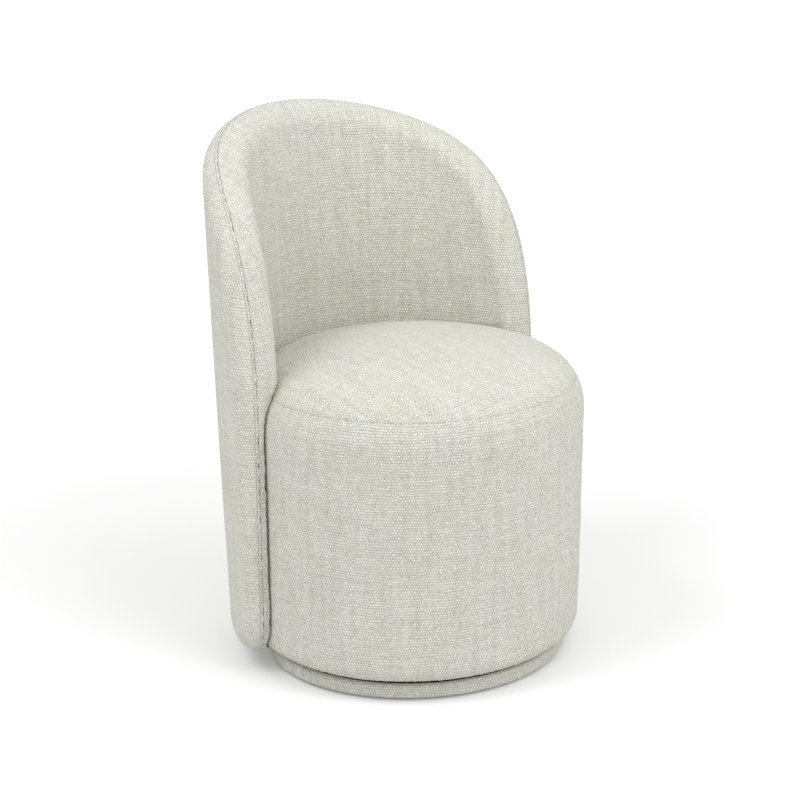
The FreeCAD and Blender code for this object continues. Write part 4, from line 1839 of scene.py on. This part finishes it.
@dataclass
class Studio:
    """Pale floor and soft light all round, a little stronger from above and the left.

    Attributes:
        floor_reach: Half width of the floor.
        floor_tone: How much light it gives back.
        near: Distance from the chair's axis out to which the floor's glow is the lower one.
        near_glow: Glow out to there, as the camera sees it.
        far: Distance from which its glow is the higher one.
        far_glow: Glow from there on.
        sky: Strength of the light from all round.
        aim: Point that the lamps are turned to.
        lamps: The lamps.
    """

    floor_reach: float = 30.0
    floor_tone: float = 0.82
    near: float = 0.5
    near_glow: float = 0.13
    far: float = 3.0
    far_glow: float = 0.42
    sky: float = 0.76
    aim: Triple = (0.0, 0.0, 0.4)
    lamps: tuple[Lamp, ...] = (
        Lamp("key", 34.0, 1.6, (-2.0, 0.35, 3.0)),
        Lamp("fill", 38.0, 3.0, (1.6, -3.3, 2.6)),
        Lamp("top", 8.0, 0.9, (-0.1, -1.0, 1.9)),
    )

    def build(self) -> None:
        """Make the floor, the world and the lamps."""
        bpy.context.scene.view_settings.view_transform = "Standard"
        self._floor()
        self._world()
        for lamp in self.lamps:
            lamp.build(Vector(self.aim))

    def _floor(self) -> None:
        """Make a wide floor that is white to the eye and keeps the chair's shadow."""
        reach = self.floor_reach
        mesh = bpy.data.meshes.new("floor")
        corners = [(-reach, -reach, 0.0), (reach, -reach, 0.0), (reach, reach, 0.0), (-reach, reach, 0.0)]
        mesh.from_pydata(corners, [], [(0, 1, 2, 3)])
        floor = bpy.data.objects.new("floor", mesh)
        bpy.context.scene.collection.objects.link(floor)
        graph = Graph.material("floor")
        matt = graph.node("ShaderNodeBsdfDiffuse", {"Color": (self.floor_tone,) * 3})
        away = graph.node("ShaderNodeVectorMath", {0: graph.solid()}, operation="LENGTH").outputs["Value"]
        glow = graph.spread(away, self.near_glow, self.far_glow, self.near, self.far)
        strength = graph.math("MULTIPLY", graph.seen(), glow)
        light = graph.node("ShaderNodeEmission", {"Color": (1.0, 1.0, 1.0), "Strength": strength})
        graph.finish(graph.node("ShaderNodeAddShader", {0: matt.outputs[0], 1: light.outputs[0]}))
        mesh.materials.append(graph.owner)

    def _world(self) -> None:
        """Light from all round, and plain white where it is seen."""
        world = bpy.data.worlds.new("studio")
        bpy.context.scene.world = world
        graph = Graph(world, "ShaderNodeOutputWorld")
        level = graph.spread(graph.seen(), self.sky, 1.0)
        graph.finish(graph.node("ShaderNodeBackground", {0: (1.0, 1.0, 1.0), 1: level}))


@dataclass
class HiddenFrame:
    """Finishes of the nodes that are carried over as they are.

    Attributes:
        nodes: The frame's nodes by name.
    """

    nodes: dict[str, bpy.types.Object]

    def dress(self) -> None:
        """Give each carried-over node the material of what it is made of; the plinth's top board gets
        near-black instead, as painted shade in the gap under the drum.
        """
        birch = Wood(linear(224, 196, 152), linear(188, 150, 104), Grain.PLY).material("birch_ply")
        pine = Wood(linear(232, 204, 156), linear(198, 158, 108), Grain.SOLID).material("softwood")
        zinc = Steel((0.62, 0.63, 0.65), roughness=0.34, scratches=0.4).material("zinc_plate")
        bright = Steel((0.78, 0.78, 0.80), roughness=0.08, scratches=0.1).material("ball_steel")
        cage = Plastic(linear(42, 42, 44), roughness=0.5).material("cage_plastic")
        glide = Plastic(linear(50, 48, 46), roughness=0.55).material("glide_plastic")
        strap = PlainWeave(linear(48, 48, 52), pitch=1.6 * MM, relief=0.5 * MM).material("webbing")
        # Near-black on the plinth's birch-ply top board: painted shade for the deep gap between the drum
        # and the plinth.
        black = Plastic(linear(30, 29, 28), roughness=0.7).material("board_painted_shade")
        made_of = {
            black: ("plinth_top_board",),
            birch: ("plinth_ring", "seat_bottom_board", "drum_skin", "drum_top_ring", "back_ply_shell"),
            pine: ("plinth_centre_block", "drum_posts", "back_battens"),
            zinc: ("swivel_lower_plate", "swivel_upper_plate", "lower_plate_screws", "upper_plate_bolts",
                   "upper_plate_t_nuts", "back_bolts", "back_washers", "back_t_nuts", "swivel_rivet",
                   "glide_nails", "webbing_staples"),
            bright: ("swivel_balls",),
            cage: ("ball_cage",),
            glide: ("floor_glides",),
            strap: ("webbing_lengthwise", "webbing_crosswise"),
        }
        for material, names in made_of.items():
            for name in names:
                mesh = self.nodes[name].data
                mesh.materials.clear()
                mesh.materials.append(material)
            LOG.info("%s on %s", material.name, ", ".join(names))


def main() -> None:
    """Build the chair round its frame."""
    logging.basicConfig(level=logging.INFO, format="%(name)s: %(message)s")
    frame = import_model()
    PhotoCamera().build()
    Studio().build()
    weave = KnottedWeave().material("knotted_weave")
    drum = DrumForm()
    cushion = SeatCushion(drum).build()
    side = DrumSide(drum).build()
    pads = BackPads(BackForm(), drum)
    inner = pads.build_inner()
    outer = pads.build_outer()
    lap = pads.build_lap()
    plinth = PlinthCover().build()
    for piece in (cushion, side, inner, outer, lap, plinth):
        piece.data.materials.append(weave)
    fit_out(cushion, Body.SEAT, ["seat_top_cover", "seat_wadding", "seat_foam"])
    fit_out(side, Body.SEAT, ["drum_side_cover", "drum_side_foam"])
    fit_out(inner, Body.SEAT, ["back_inner_cover", "back_inner_foam"])
    fit_out(outer, Body.SEAT, ["back_outer_cover", "back_outer_foam"])
    fit_out(lap, Body.SEAT, ["back_seam_welt"])
    fit_out(plinth, Body.BASE, ["plinth_cover"])
    HiddenFrame(frame["nodes"]).dress()
    lining = PlainWeave(linear(28, 28, 30), pitch=0.9 * MM, relief=0.15 * MM).material("dust_cloth")
    plinth_lining = DustCloth("plinth_lining", half_width=191.5 * MM, opening=14.0 * MM, level=4.7 * MM)
    # Black dust cloth cut out to 226 mm, past the side cover's turn-in at 206 mm: its outer ring is painted
    # shade in the gap over the plinth.
    drum_lining_and_shade = DustCloth("drum_lining_and_shade", half_width=226.0 * MM, opening=96.0 * MM, level=32.5 * MM)
    cloths = (
        (plinth_lining, Body.BASE, "plinth_dust_cloth", "plinth_ring"),
        (drum_lining_and_shade, Body.SEAT, "drum_bottom_cloth", "seat_bottom_board"))
    for cloth, body, node, under in cloths:
        piece = cloth.build()
        piece.data.materials.append(lining)
        fit_out(piece, body, [node])
        cloth.flat()
        cloth.area()


if __name__ == "__main__":
    main()
